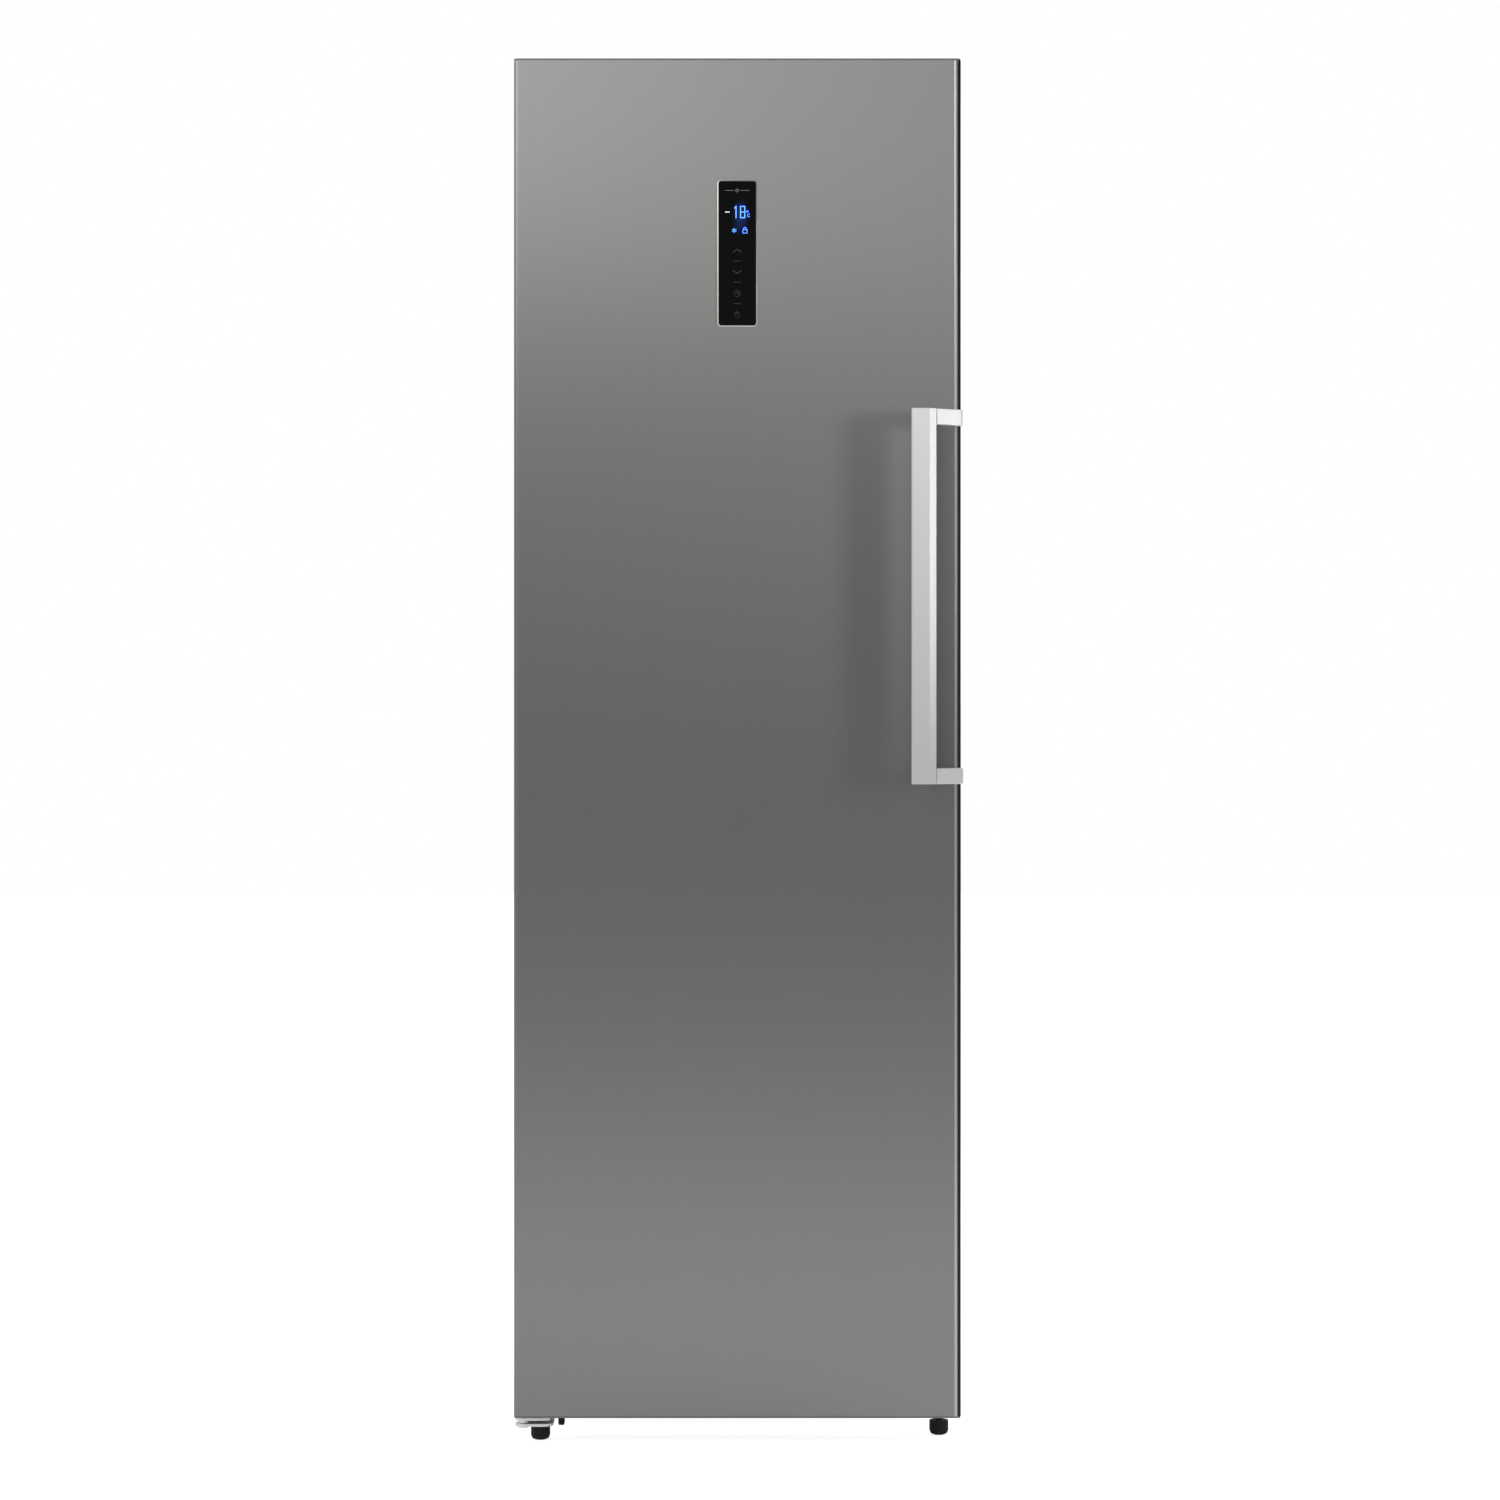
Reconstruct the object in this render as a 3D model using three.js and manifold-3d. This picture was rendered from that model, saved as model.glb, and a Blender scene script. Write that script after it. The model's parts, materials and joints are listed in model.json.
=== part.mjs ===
// Upright no-frost freezer with one tall door, six drawers and a top shelf.
// Millimetres. X points right seen from the front, Y points to the back, Z points up.
// Inside the model Y = 0 is the door's front face; the origin is the middle of the floor area.

import * as THREE from 'three';
import { mergeVertices } from 'three/addons/utils/BufferGeometryUtils.js';
import Module from 'manifold-3d';

const wasm = await Module();
wasm.setup();

// ---- Driving dimensions -------------------------------------------------------------------

const fit = 0.3;                 // gap between two pieces that touch

// cabinet
const width = 595;
const depth = 650;               // door face to back panel
const sheet = 1;                 // steel skins of cabinet, door and back
const cornerRadius = 6;          // long edges of cabinet and door
const frameWidth = 28;           // folded steel frame that the gasket closes on
const rearFold = 12;             // inward fold that the back panel lies on
const rearBead = 1.7;            // height of the pressed beads in the back panel
const wall = 61;                 // side insulation, outside to inside
const roofWall = 71;
const backWall = 59;
const underside = 2.5;           // cabinet bottom above the door's bottom edge
const floorWall = 67;            // insulated floor
const linerSheet = 2;
const linerRadius = 18;

// door
const doorLift = 35.5;           // floor to the door's bottom edge
const doorHeight = 1810;
const doorThick = 55;            // front face to the rim of the door's inner panel
const doorHem = 10;
const capFlange = 2;             // visible edge of the plastic end caps
const capDepth = 13;
const capWall = 2.5;
const socketDepth = 28;          // plastic round the hinge pins
const innerPanelSheet = 2;
const gasketThick = 10.4;
const gasketInset = 15;          // door's edge to the gasket
const gasketWidth = 20;
const plugInset = 62;            // door's edge to the foot of the raised plug
const plugSlope = 20;
const plugRise = 21;             // how far the plug stands out from the inner panel
const doorRoofGap = 1;           // cabinet top above the door's top edge

// door hinges
const hingeSide = 12;            // hinge axis from the door's left side
const hingeFront = 20;           // hinge axis from the door's face
const pinRadius = 5;
const pinReach = 24;             // upper pin's lower end below the door's top
const hingePlate = 3.4;
const bracketWidth = 51;
const bracketFront = 8;          // bracket's front edge behind the door's face
const bracketSlot = 4.5;         // open height between the two plates of the lower bracket
const bracketDrop = 1.5;         // lower bracket below the door
const bracketReach = 76;         // how far the brackets run along the cabinet
const bracketNeck = 4;           // the brackets are this much narrower behind the pin
const screwRadius = 3.2;
const recessDepth = 5;           // pocket for the upper bracket in the top of the door
const recessClear = 8;
const hingeCoverRise = 8.5;      // top of the plastic hinge cover above the cabinet
const coverWall = 1.8;

// control panel in the door
const panelWidth = 50;
const panelHeight = 192;
const panelDrop = 163.5;         // door's top edge to the panel's
const panelProud = 1.1;          // glass and frame in front of the door's face
const panelBody = 15;            // depth of the housing behind the glass
const panelRim = 1;

// handle on the door's right side
const handleReach = 45;          // bar's face in front of the door
const handleBottom = 880;
const handleLength = 497;
const handleLeft = 230.7;        // bar's left edge from the door's middle
const handleWidth = 32.7;
const handleThick = 15;
const handleBevel = 9;
const bracketTall = 21;
const sideArm = 3;               // bracket thickness on the door's side
const sideArmReach = 36;

// drawers, rails and shelf
const upperDrawers = 5;
const drawerLift = 8;            // lowest of the upper drawers above the cavity's step
const shelfSpace = 251.5;        // glass shelf's underside to the cavity's roof
const drawerSetback = 20;        // drawer fronts behind the door's plug
const drawerFrontDepth = 17;
const frontClear = 10.5;         // liner's side to a drawer front's
const basketClear = 17;          // liner's side to a basket's wall
const rimClear = 4.5;            // liner's side to a basket's rim
const drawerWall = 2.6;
const drawerFlare = 6;
const drawerRimThick = 3;
const drawerAir = 14;            // free height above each drawer
const frontLift = 4;             // bottom drawer's front above the cavity's floor
const railStrip = 2.6;
const railTall = 8;
const railReach = 14.5;          // how far a rail stands out from the liner
const railStart = 20;            // rails begin behind the drawer fronts
const shelfThick = 4;
const shelfTrim = 14;

// rear step of the cavity and the compressor compartment below it
const bayDepth = 232;            // compartment, measured from the back
const bayHeight = 252;           // above the cabinet's bottom
const bayBevel = [37, 60];
const stepWall = 46;             // insulation between cavity and compartment
const deckSheet = 1.2;
const deckFront = 34;            // height of the steel crossbar under the door opening

// air duct in front of the back wall
const ductDepth = 78;
const coverSheet = 2.5;
const coverRaise = 6;
const coverRaiseHalf = 150;

// evaporator and its fan
const evaporatorAir = 39;        // middle of the fins to the liner's back
const finHalfDepth = 26;
const evaporatorTall = 234;
const evaporatorLift = 30;       // fins above the cavity's step
const evaporatorClear = 50.5;    // liner's side to the end plates
const evaporatorTube = 4;
const passCount = 4;
const finCount = 7;
const finThick = 1.4;
const coilBend = 22;             // bend radius of the serpentine
const heaterDrop = 14;           // heater below the fins
const heaterRadius = 3.5;
const heaterReach = 13;          // heater's two runs from the middle of the fins
const fanRise = 100;             // fan's axis above the fins
const fanRadius = 56;
const suctionX = 110;
const suctionRadius = 5;
const drainX = 60;
const drainRadius = 9;

// compressor compartment
const compressorX = -30;
const compressorAside = 118;     // compressor's axis behind the compartment's front
const compressorRadius = 94;
const compressorTall = 176;
const compressorOval = 0.78;     // front to back over left to right
const trayTall = 34;
const trayWall = 3;
const boxDepth = 120;
const boxTall = 126;
const boxThick = 46;
const glandInset = 92.5;         // cord inlet from the cabinet's right side
const glandRadius = 9;
const plateFlange = 34;

// running gear
const footRadius = 13;
const footTall = 19.5;
const footBevel = 6;
const stemRadius = 4;
const leftFoot = [33.5, 45];     // from the left side, from the door's face
const rightFoot = [25.5, 82];    // from the right side, from the door's face
const rollerRadius = 15;
const rollerWidth = 13;
const rollerInset = 24;          // roller's middle from the cabinet's side
const rollerBack = 42;           // roller's middle from the back
const axleRadius = 3;
const earThick = 2;

// ---- Places worked out from them ----------------------------------------------------------

const half = width / 2;
const doorTop = doorLift + doorHeight;
const cabinetTop = doorTop + doorRoofGap;
const cabinetBottom = doorLift + underside;
const cabinetFront = doorThick + gasketThick + 2 * fit;
const cabinetBack = depth - rearBead - sheet - fit;
const innerHalf = half - wall;
const cavityFloor = cabinetBottom + floorWall;
const cavityRoof = cabinetTop - roofWall;
const cavityBack = depth - backWall;
const skinInside = half - sheet - fit;
const innerCorner = cornerRadius - sheet - fit;
const roofInside = cabinetTop - sheet - fit;
const plugFace = doorThick + plugRise + innerPanelSheet;
const drawerFace = plugFace + drawerSetback;
const bayFront = depth - bayDepth;
const bayRoof = cabinetBottom + bayHeight;
const stepFront = bayFront - stepWall;
const stepTop = bayRoof + stepWall;
const hingeX = -half + hingeSide;
const coverFace = cavityBack - ductDepth;
const plateFloor = cabinetBottom + 6;
const upperShelf = cavityRoof - shelfSpace;
const drawerPitch = (upperShelf - stepTop - drawerLift) / upperDrawers;
const drawerFrontHalf = innerHalf - frontClear;
const drawerBodyHalf = innerHalf - basketClear;
const drawerFlangeHalf = innerHalf - rimClear;
const panelTop = doorTop - panelDrop;

// the deck's underside, from the front crossbar over the floor and up over the compartment
const deckPath = [
  [cabinetFront + sheet + fit, cabinetBottom + deckFront],
  [cabinetFront + sheet + fit, cabinetBottom],
  [bayFront, cabinetBottom],
  [bayFront, bayRoof - bayBevel[1]],
  [bayFront + bayBevel[0], bayRoof],
  [cabinetBack - sheet - fit, bayRoof],
];
const deckBend = 2;

// ---- Shapes -------------------------------------------------------------------------------

// replaces each corner of an outline by an arc; a closed outline has no free ends
function rounded(points, radii, closed = true, steps = 4) {
  const radiusAt = (i) => (Array.isArray(radii) ? radii[i] : radii);
  const result = [];
  points.forEach((point, i) => {
    const end = !closed && (i === 0 || i === points.length - 1);
    if (end || !radiusAt(i)) {
      result.push(point);
      return;
    }
    const corner = new THREE.Vector2(...point);
    const before = new THREE.Vector2(...points.at(i - 1)).sub(corner).normalize();
    const after = new THREE.Vector2(...points[(i + 1) % points.length]).sub(corner).normalize();
    const halfAngle = Math.acos(THREE.MathUtils.clamp(before.dot(after), -1, 1)) / 2;
    const reach = radiusAt(i) / Math.tan(halfAngle);
    const centre = before.clone().add(after).normalize()
      .multiplyScalar(radiusAt(i) / Math.sin(halfAngle)).add(corner);
    const from = before.multiplyScalar(reach).add(corner).sub(centre);
    const to = after.multiplyScalar(reach).add(corner).sub(centre);
    const sweep = Math.atan2(from.cross(to), from.dot(to));
    for (let k = 0; k <= steps; k += 1) {
      const spoke = from.clone().rotateAround(new THREE.Vector2(), (sweep * k) / steps);
      result.push([centre.x + spoke.x, centre.y + spoke.y]);
    }
  });
  return result;
}

// moves an open path sideways: to the left of its direction where distance is positive
function offsetPath(path, distance) {
  return path.map((point, i) => {
    const here = new THREE.Vector2(...point);
    const ahead = new THREE.Vector2(...(path[i + 1] ?? point)).sub(here).normalize();
    const behind = here.clone().sub(new THREE.Vector2(...(path[i - 1] ?? point))).normalize();
    const first = i === 0 ? ahead : behind;
    const last = i === path.length - 1 ? behind : ahead;
    const normal = new THREE.Vector2(-first.y - last.y, first.x + last.x).normalize();
    const stretch = normal.dot(new THREE.Vector2(-first.y, first.x));
    return [here.x + (normal.x * distance) / stretch, here.y + (normal.y * distance) / stretch];
  });
}

// the outline of a bent sheet whose thickness lies to the left of its path
const bentSheet = (path, thickness) => [...path, ...offsetPath(path, thickness).reverse()];

const rectangle = ([a0, a1], [b0, b1]) => [[a0, b0], [a1, b0], [a1, b1], [a0, b1]];

const roundedRectangle = (a, b, radius, steps = 4) =>
  rounded(rectangle(a, b), radius, true, steps);

const circle = (radius, sides, [a, b] = [0, 0]) =>
  Array.from({ length: sides }, (_, i) => {
    const angle = (i * 2 * Math.PI) / sides;
    return [a + radius * Math.cos(angle), b + radius * Math.sin(angle)];
  });

// a hole's outline: its flats, not its corners, lie on the radius
const roundHole = (radius, sides, centre) =>
  circle(radius / Math.cos(Math.PI / sides), sides, centre);

// ---- Solids -------------------------------------------------------------------------------

// turns a closed three.js geometry into a solid with its faces pointing out
function solid(geometry) {
  geometry.deleteAttribute('normal');
  geometry.deleteAttribute('uv');
  const merged = mergeVertices(geometry, 1e-4);
  const vertices = Float32Array.from(merged.attributes.position.array);
  const corner = (i) => new THREE.Vector3().fromArray(vertices, 3 * i);
  const faces = [];
  let volume = 0;
  for (let i = 0; i < merged.index.count; i += 3) {
    const [a, b, c] = [0, 1, 2].map((k) => merged.index.getX(i + k));
    if (a !== b && b !== c && c !== a) {
      faces.push(a, b, c);
      volume += corner(a).dot(corner(b).cross(corner(c)));
    }
  }
  if (volume < 0) faces.reverse();
  return new wasm.Manifold(new wasm.Mesh({
    numProp: 3,
    vertProperties: vertices,
    triVerts: Uint32Array.from(faces),
  }));
}

const extruded = (outline, length) => new THREE.ExtrudeGeometry(
  new THREE.Shape(outline.map(([a, b]) => new THREE.Vector2(a, b))),
  { depth: length, bevelEnabled: false },
);

// an outline in X and Y, raised from z0 to z1
const upright = (outline, [z0, z1]) => solid(extruded(outline, z1 - z0).translate(0, 0, z0));

// an outline in X and Z, seen from the front, running from y0 back to y1
const facing = (outline, [y0, y1]) =>
  solid(extruded(outline, y1 - y0).rotateX(Math.PI / 2).translate(0, y1, 0));

// an outline in Y and Z, seen from the side, running from x0 to x1
const sideways = (outline, [x0, x1]) => solid(
  extruded(outline, x1 - x0).applyMatrix4(new THREE.Matrix4().makeBasis(
    new THREE.Vector3(0, 1, 0), new THREE.Vector3(0, 0, 1), new THREE.Vector3(1, 0, 0),
  )).translate(x0, 0, 0),
);

const block = (x, y, z) => upright(rectangle(x, y), z);

const lathe = (profile, sides) =>
  new THREE.LatheGeometry(profile.map(([r, along]) => new THREE.Vector2(r, along)), sides);

// profiles of [radius, distance] points turned about an upright, a front-to-back or a cross axis
const turnedUpright = (profile, sides, [x, y]) =>
  solid(lathe(profile, sides).rotateX(Math.PI / 2).translate(x, y, 0));
const turnedFacing = (profile, sides, [x, z]) => solid(lathe(profile, sides).translate(x, 0, z));
const turnedAcross = (profile, sides, [y, z]) =>
  solid(lathe(profile, sides).rotateZ(-Math.PI / 2).translate(0, y, z));

// a closed ring of a profile, for a piece with a bore
const ringed = (profile) => [...profile, profile[0]];

// a Curve through stations that are spread unevenly: few on straights, more in bends
class Route extends THREE.Curve {
  constructor(stations) {
    super();
    this.stations = stations;
  }

  getPoint(t, target = new THREE.Vector3()) {
    const place = THREE.MathUtils.clamp(t, 0, 1) * (this.stations.length - 1);
    const i = Math.min(Math.floor(place), this.stations.length - 2);
    return target.lerpVectors(this.stations[i], this.stations[i + 1], place - i);
  }

  getUtoTmapping(u) {
    return u;
  }
}

// a round tube through corners, each bent to a radius
function tube(corners, radius, bend, sides = 8, bendSteps = 4) {
  const points = corners.map((c) => new THREE.Vector3(...c));
  const stations = [points[0]];
  for (let i = 1; i < points.length - 1; i += 1) {
    const before = points[i - 1].clone().sub(points[i]).normalize();
    const after = points[i + 1].clone().sub(points[i]).normalize();
    const reach = bend / Math.tan(before.angleTo(after) / 2);
    const arc = new THREE.QuadraticBezierCurve3(
      before.multiplyScalar(reach).add(points[i]), points[i], after.multiplyScalar(reach).add(points[i]),
    );
    stations.push(...arc.getPoints(bendSteps));
  }
  stations.push(points.at(-1));
  const section = new THREE.Shape(circle(radius, sides).map(([a, b]) => new THREE.Vector2(a, b)));
  return solid(new THREE.ExtrudeGeometry(section, {
    steps: stations.length - 1, extrudePath: new Route(stations), bevelEnabled: false,
  }));
}

const joined = (shapes) => shapes.reduce((whole, shape) => whole.add(shape));
const cut = (shape, ...cutters) => cutters.reduce((rest, cutter) => rest.subtract(cutter), shape);

// the same span on the left (-1) or on the right (1) of the middle
const onSide = (side, near, far) => (side > 0 ? [near, far] : [-far, -near]);

// ---- The model and its finishes -----------------------------------------------------------

const freezer = new THREE.Group();
freezer.position.y = -(depth - handleReach) / 2;

const finishes = {
  brushedSteel: [0x8d8b88, 0.38, 0.9],
  sidePaint: [0x8f8e8c, 0.5, 0.2],
  zinc: [0xb9bcbd, 0.35, 0.9],
  castAluminium: [0xd2d3d4, 0.3, 0.9],
  darkPlastic: [0x2a2b2d, 0.5, 0],
  greyPlastic: [0x77797b, 0.5, 0],
  whitePlastic: [0xeef0f1, 0.45, 0],
  clearPlastic: [0xdfe9ee, 0.12, 0],
  blackGlass: [0x08090b, 0.06, 0],
  rubber: [0x151515, 0.8, 0],
  gasketGrey: [0xa7a9ab, 0.7, 0],
  foam: [0xe8d9a6, 0.9, 0],
  copper: [0xb4694a, 0.35, 0.9],
  finAluminium: [0xc9ced1, 0.4, 0.8],
  blackPaint: [0x18191a, 0.45, 0.1],
  board: [0x1e5b3a, 0.6, 0],
};

function add(name, shape, finish, place = [0, 0, 0]) {
  const { vertProperties, triVerts } = shape.getMesh();
  const geometry = new THREE.BufferGeometry();
  geometry.setAttribute('position', new THREE.BufferAttribute(vertProperties, 3));
  geometry.setIndex(new THREE.BufferAttribute(triVerts, 1));
  geometry.computeVertexNormals();
  const [color, roughness, metalness] = finishes[finish];
  const mesh = new THREE.Mesh(
    geometry, new THREE.MeshStandardMaterial({ color, roughness, metalness }),
  );
  mesh.name = name;
  mesh.position.set(...place);
  freezer.add(mesh);
}

// ---- Cabinet ------------------------------------------------------------------------------

// an upside-down U of band width: the cabinet's two sides and its top
function arch(band, [y0, y1]) {
  const inner = Math.max(cornerRadius - band, 0);
  const outline = [
    [-half, cabinetBottom], [-half, cabinetTop], [half, cabinetTop], [half, cabinetBottom],
    [half - band, cabinetBottom], [half - band, cabinetTop - band],
    [-half + band, cabinetTop - band], [-half + band, cabinetBottom],
  ];
  const radii = [0, cornerRadius, cornerRadius, 0, 0, inner, inner, 0];
  return facing(rounded(outline, radii), [y0, y1]);
}

function cabinetWrapper() {
  return joined([
    arch(sheet, [cabinetFront, cabinetBack]),
    arch(frameWidth, [cabinetFront, cabinetFront + sheet]),
    arch(rearFold, [cabinetBack - sheet, cabinetBack]),
  ]);
}

function backPanel() {
  const face = cabinetBack + fit;
  const [left, right, bottom, top] = [-half + 2, half - 2, bayRoof - deckSheet, cabinetTop - 4];
  const plate = facing(roundedRectangle([left, right], [bottom, top], 4, 2), [face, face + sheet]);
  const beads = [-1, 0, 1].map((k) => {
    const x = k * 150;
    const outline = roundedRectangle([x - 9, x + 9], [bottom + 120, top - 120], 8.9, 3);
    return facing(outline, [face + sheet / 2, face + sheet + rearBead]);
  });
  return joined([plate, ...beads]);
}

// the cavity's inside, grown outwards by a wall thickness
function cavity(grow) {
  const shell = facing(
    roundedRectangle(
      [-innerHalf - grow, innerHalf + grow], [cavityFloor - grow, cavityRoof + grow],
      linerRadius + grow,
    ),
    [cabinetFront - 10, cavityBack + grow],
  );
  const below = cavityFloor - 60;
  const behind = cavityBack + 60;
  const stepPath = rounded([
    [stepFront, below], [stepFront, stepTop - bayBevel[1]],
    [stepFront + bayBevel[0], stepTop], [behind, stepTop],
  ], 12, false, 2);
  const step = sideways([...offsetPath(stepPath, -grow), [behind, below]], [-half, half]);
  return cut(shell, step);
}

const lipFace = cabinetFront + sheet + fit;

function innerLiner() {
  const lip = facing(
    roundedRectangle(
      [-skinInside, skinInside], [cabinetBottom + deckFront + fit, roofInside], innerCorner, 3,
    ),
    [lipFace, lipFace + linerSheet],
  );
  const shell = cavity(linerSheet).intersect(
    block([-half, half], [lipFace, depth], [cabinetBottom, cabinetTop]),
  );
  return cut(joined([shell, lip]), cavity(0), drainHole(fit), suctionHole(fit));
}

function insulationFoam() {
  const front = lipFace + linerSheet + fit;
  const underside = offsetPath(rounded(deckPath, deckBend, false, 2), deckSheet + fit).slice(4);
  const sideView = [
    [front, underside[0][1]], ...underside, [underside.at(-1)[0], cabinetTop], [front, cabinetTop],
  ];
  const frontView = rounded([
    [-skinInside, cabinetBottom], [skinInside, cabinetBottom],
    [skinInside, roofInside], [-skinInside, roofInside],
  ], [0, 0, innerCorner, innerCorner], true, 3);
  const body = sideways(sideView, [-half, half]).intersect(facing(frontView, [0, depth]));
  return cut(body, cavity(linerSheet + fit), coilPocket(), drainHole(fit), suctionHole(fit));
}

// steel deck under the insulation: front crossbar, floor, and the roof of the compartment
function baseDeck() {
  const path = rounded(deckPath, deckBend, false, 2);
  const deck = sideways(bentSheet(path, deckSheet), [-skinInside, skinInside]);
  const nut = upright(
    circle(9, 6, rightFootPlace()), [cabinetBottom - 9, cabinetBottom + deckSheet / 2],
  );
  const stem = upright(roundHole(stemRadius + fit, 8, rightFootPlace()), [0, cabinetBottom + 20]);
  return cut(joined([deck, nut]), stem, drainHole(fit), suctionHole(fit), ...coilHoles());
}

const rightFootPlace = () => [half - rightFoot[0], rightFoot[1]];
const leftFootPlace = () => [-half + leftFoot[0], leftFoot[1]];

// cross channel at the back that carries the compressor and the two rollers
const plateFront = bayFront + fit;
const plateBack = cabinetBack - 4;
const rollerY = depth - rollerBack;
const glandX = half - glandInset;

function compressorPlate() {
  const path = rounded([
    [plateFront, plateFloor + 14], [plateFront, plateFloor],
    [plateBack, plateFloor], [plateBack, plateFloor + plateFlange],
  ], 3, false, 2);
  const channel = sideways(bentSheet(path, earThick), [-skinInside, skinInside]);
  const gear = [-1, 1].map((side) => {
    const middle = half - rollerInset;
    const inner = middle - rollerWidth / 2 - fit;
    const outer = middle + rollerWidth / 2 + fit;
    const ear = rounded([
      [rollerY - 16, plateFloor + 1], [rollerY - 7, rollerRadius - 7],
      [rollerY + 7, rollerRadius - 7], [rollerY + 16, plateFloor + 1],
    ], [0, 5, 5, 0], true, 3);
    return joined([
      sideways(ear, onSide(side, inner - earThick, inner)),
      sideways(ear, onSide(side, outer, outer + earThick)),
      sideways(
        circle(axleRadius, 12, [rollerY, rollerRadius]), onSide(side, inner - 1, outer + 1),
      ),
    ]);
  });
  const glandHole = facing(
    roundHole(glandRadius + fit, 12, [glandX, plateFloor + 20]), [plateBack - 10, depth],
  );
  return cut(joined([channel, ...gear]), glandHole);
}

// ---- Drawer rails and shelf ---------------------------------------------------------------

const railFront = drawerFace + railStart;
const railBack = coverFace - 22;
const drawerFloor = (level) => stepTop + drawerLift + level * drawerPitch;
const rimUnderside = (level) => drawerFloor(level) + drawerPitch - drawerAir - drawerRimThick;

function drawerRails(side) {
  const face = innerHalf - fit;
  const levels = Array.from({ length: upperDrawers }, (_, level) => rimUnderside(level) - fit);
  const tops = [...levels, upperShelf - fit];
  const strips = [railFront + 14, railBack - 44].map((y) => block(
    onSide(side, face - railStrip, face), [y, y + 30], [tops[0] - 150, tops.at(-1)],
  ));
  const rails = tops.map((top, i) => {
    const front = i < upperDrawers ? railFront : railFront + shelfTrim;
    return sideways(
      rounded(rectangle([front, railBack], [top - railTall, top]), [3.9, 0, 0, 3.9], true, 1),
      onSide(side, innerHalf - railReach, face - railStrip / 2),
    );
  });
  return joined([...strips, ...rails]);
}

function glassShelf() {
  const back = railBack + 10;
  const front = railFront - 6;
  const profile = rounded([
    [front, upperShelf - 6], [front + 3, upperShelf - 6], [front + shelfTrim, upperShelf],
    [back, upperShelf], [back, upperShelf + shelfThick + 8], [back - 3, upperShelf + shelfThick + 8],
    [back - 3, upperShelf + shelfThick], [front, upperShelf + shelfThick],
  ], [2, 0, 2, 0, 1, 1, 1, 2], true, 2);
  return sideways(profile, [-innerHalf + 2.4, innerHalf - 2.4]);
}

// ---- Drawers ------------------------------------------------------------------------------

// a round-cornered block whose walls lean outwards from its lower end to its upper end
function flared(x, y, z, radius, flare) {
  const geometry = extruded(roundedRectangle(x, y, radius, 2), z[1] - z[0]);
  const place = geometry.attributes.position;
  const middle = (y[0] + y[1]) / 2;
  for (let i = 0; i < place.count; i += 1) {
    if (place.getZ(i) < 0.1) {
      place.setX(i, place.getX(i) - Math.sign(place.getX(i)) * flare);
      place.setY(i, place.getY(i) - Math.sign(place.getY(i) - middle) * flare);
    }
  }
  return geometry.translate(0, 0, z[0]);
}

// a moulded basket standing at z = 0; its rim slides on the rails
function drawerBasket(front, back, tall) {
  const top = tall + drawerRimThick;
  const outer = solid(flared(
    [-drawerBodyHalf, drawerBodyHalf], [front, back], [0, top], 16, drawerFlare,
  ));
  const hollow = solid(flared(
    [-drawerBodyHalf + drawerWall, drawerBodyHalf - drawerWall],
    [front + drawerWall, back - drawerWall], [drawerWall, top + 1], 14, drawerFlare,
  ));
  const rim = upright(
    roundedRectangle([-drawerFlangeHalf, drawerFlangeHalf], [front, back + 4], 8, 2), [tall, top],
  );
  const slots = [];
  const slotCount = Math.round((back - front) / 95);
  for (let i = 1; i < slotCount; i += 1) {
    const y = front + (i * (back - front)) / slotCount;
    slots.push(block([-half, half], [y - 4, y + 4], [tall * 0.35, tall * 0.75]));
  }
  return cut(joined([outer, rim]), hollow, ...slots);
}

// a clear front with a finger groove along its top; its bottom edge is at z = 0
function drawerFront(tall) {
  const face = drawerFace;
  const back = drawerFace + drawerFrontDepth;
  const groove = 13;
  const path = rounded([
    [face + 2, tall], [face + 2, tall - 4], [face + groove, tall - 14], [face + groove, tall - 36],
    [face, tall - 50], [face, 16], [face + 2, 0], [back, 0],
  ], [0, 0, 4, 4, 0, 0, 2.9, 0], false, 2);
  const skin = sideways(bentSheet(path, drawerWall), [-drawerFrontHalf, drawerFrontHalf]);
  const cheeks = [-1, 1].map((side) => sideways(
    [...path, [back, tall]], onSide(side, drawerFrontHalf - drawerWall, drawerFrontHalf),
  ));
  return joined([skin, ...cheeks]);
}

// ---- Cold circuit and air duct ------------------------------------------------------------

const evaporatorY = cavityBack - evaporatorAir;
const evaporatorBottom = stepTop + evaporatorLift;
const evaporatorTop = evaporatorBottom + evaporatorTall;
const evaporatorHalf = innerHalf - evaporatorClear;
const passPitch = evaporatorTall / passCount;
const heaterZ = evaporatorBottom - heaterDrop;
const fanZ = evaporatorTop + fanRise;
const suctionPlace = [suctionX, evaporatorY];
const drainPlace = [drainX, cavityBack - 16];
const throughInsulation = [bayRoof - 20, stepTop + 20];

const suctionHole = (clear) =>
  upright(roundHole(suctionRadius + clear, 10, suctionPlace), throughInsulation);
const drainHole = (clear) =>
  upright(roundHole(drainRadius + clear, 12, drainPlace), throughInsulation);

function ventSlots() {
  const through = [coverFace - 30, coverFace + 30];
  const slots = [];
  for (let level = 0; level <= upperDrawers; level += 1) {
    const z = drawerFloor(level) + drawerPitch - 48;
    for (const x of [-90, 0, 90]) slots.push(block([x - 34, x + 34], through, [z, z + 7]));
  }
  for (const x of [-120, 0, 120]) {
    slots.push(block([x - 50, x + 50], through, [stepTop + 12, stepTop + 24]));
  }
  return slots;
}

// the round grille in front of the fan: level slots cut to the chord of a circle
function fanGrille() {
  const pitch = 14;
  return Array.from({ length: 7 }, (_, i) => {
    const z = (i - 3) * pitch;
    const chord = Math.sqrt((fanRadius - 4) ** 2 - z ** 2);
    return block([-chord, chord], [coverFace - 30, coverFace + 30], [fanZ + z - 3.5, fanZ + z + 3.5]);
  });
}

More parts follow.
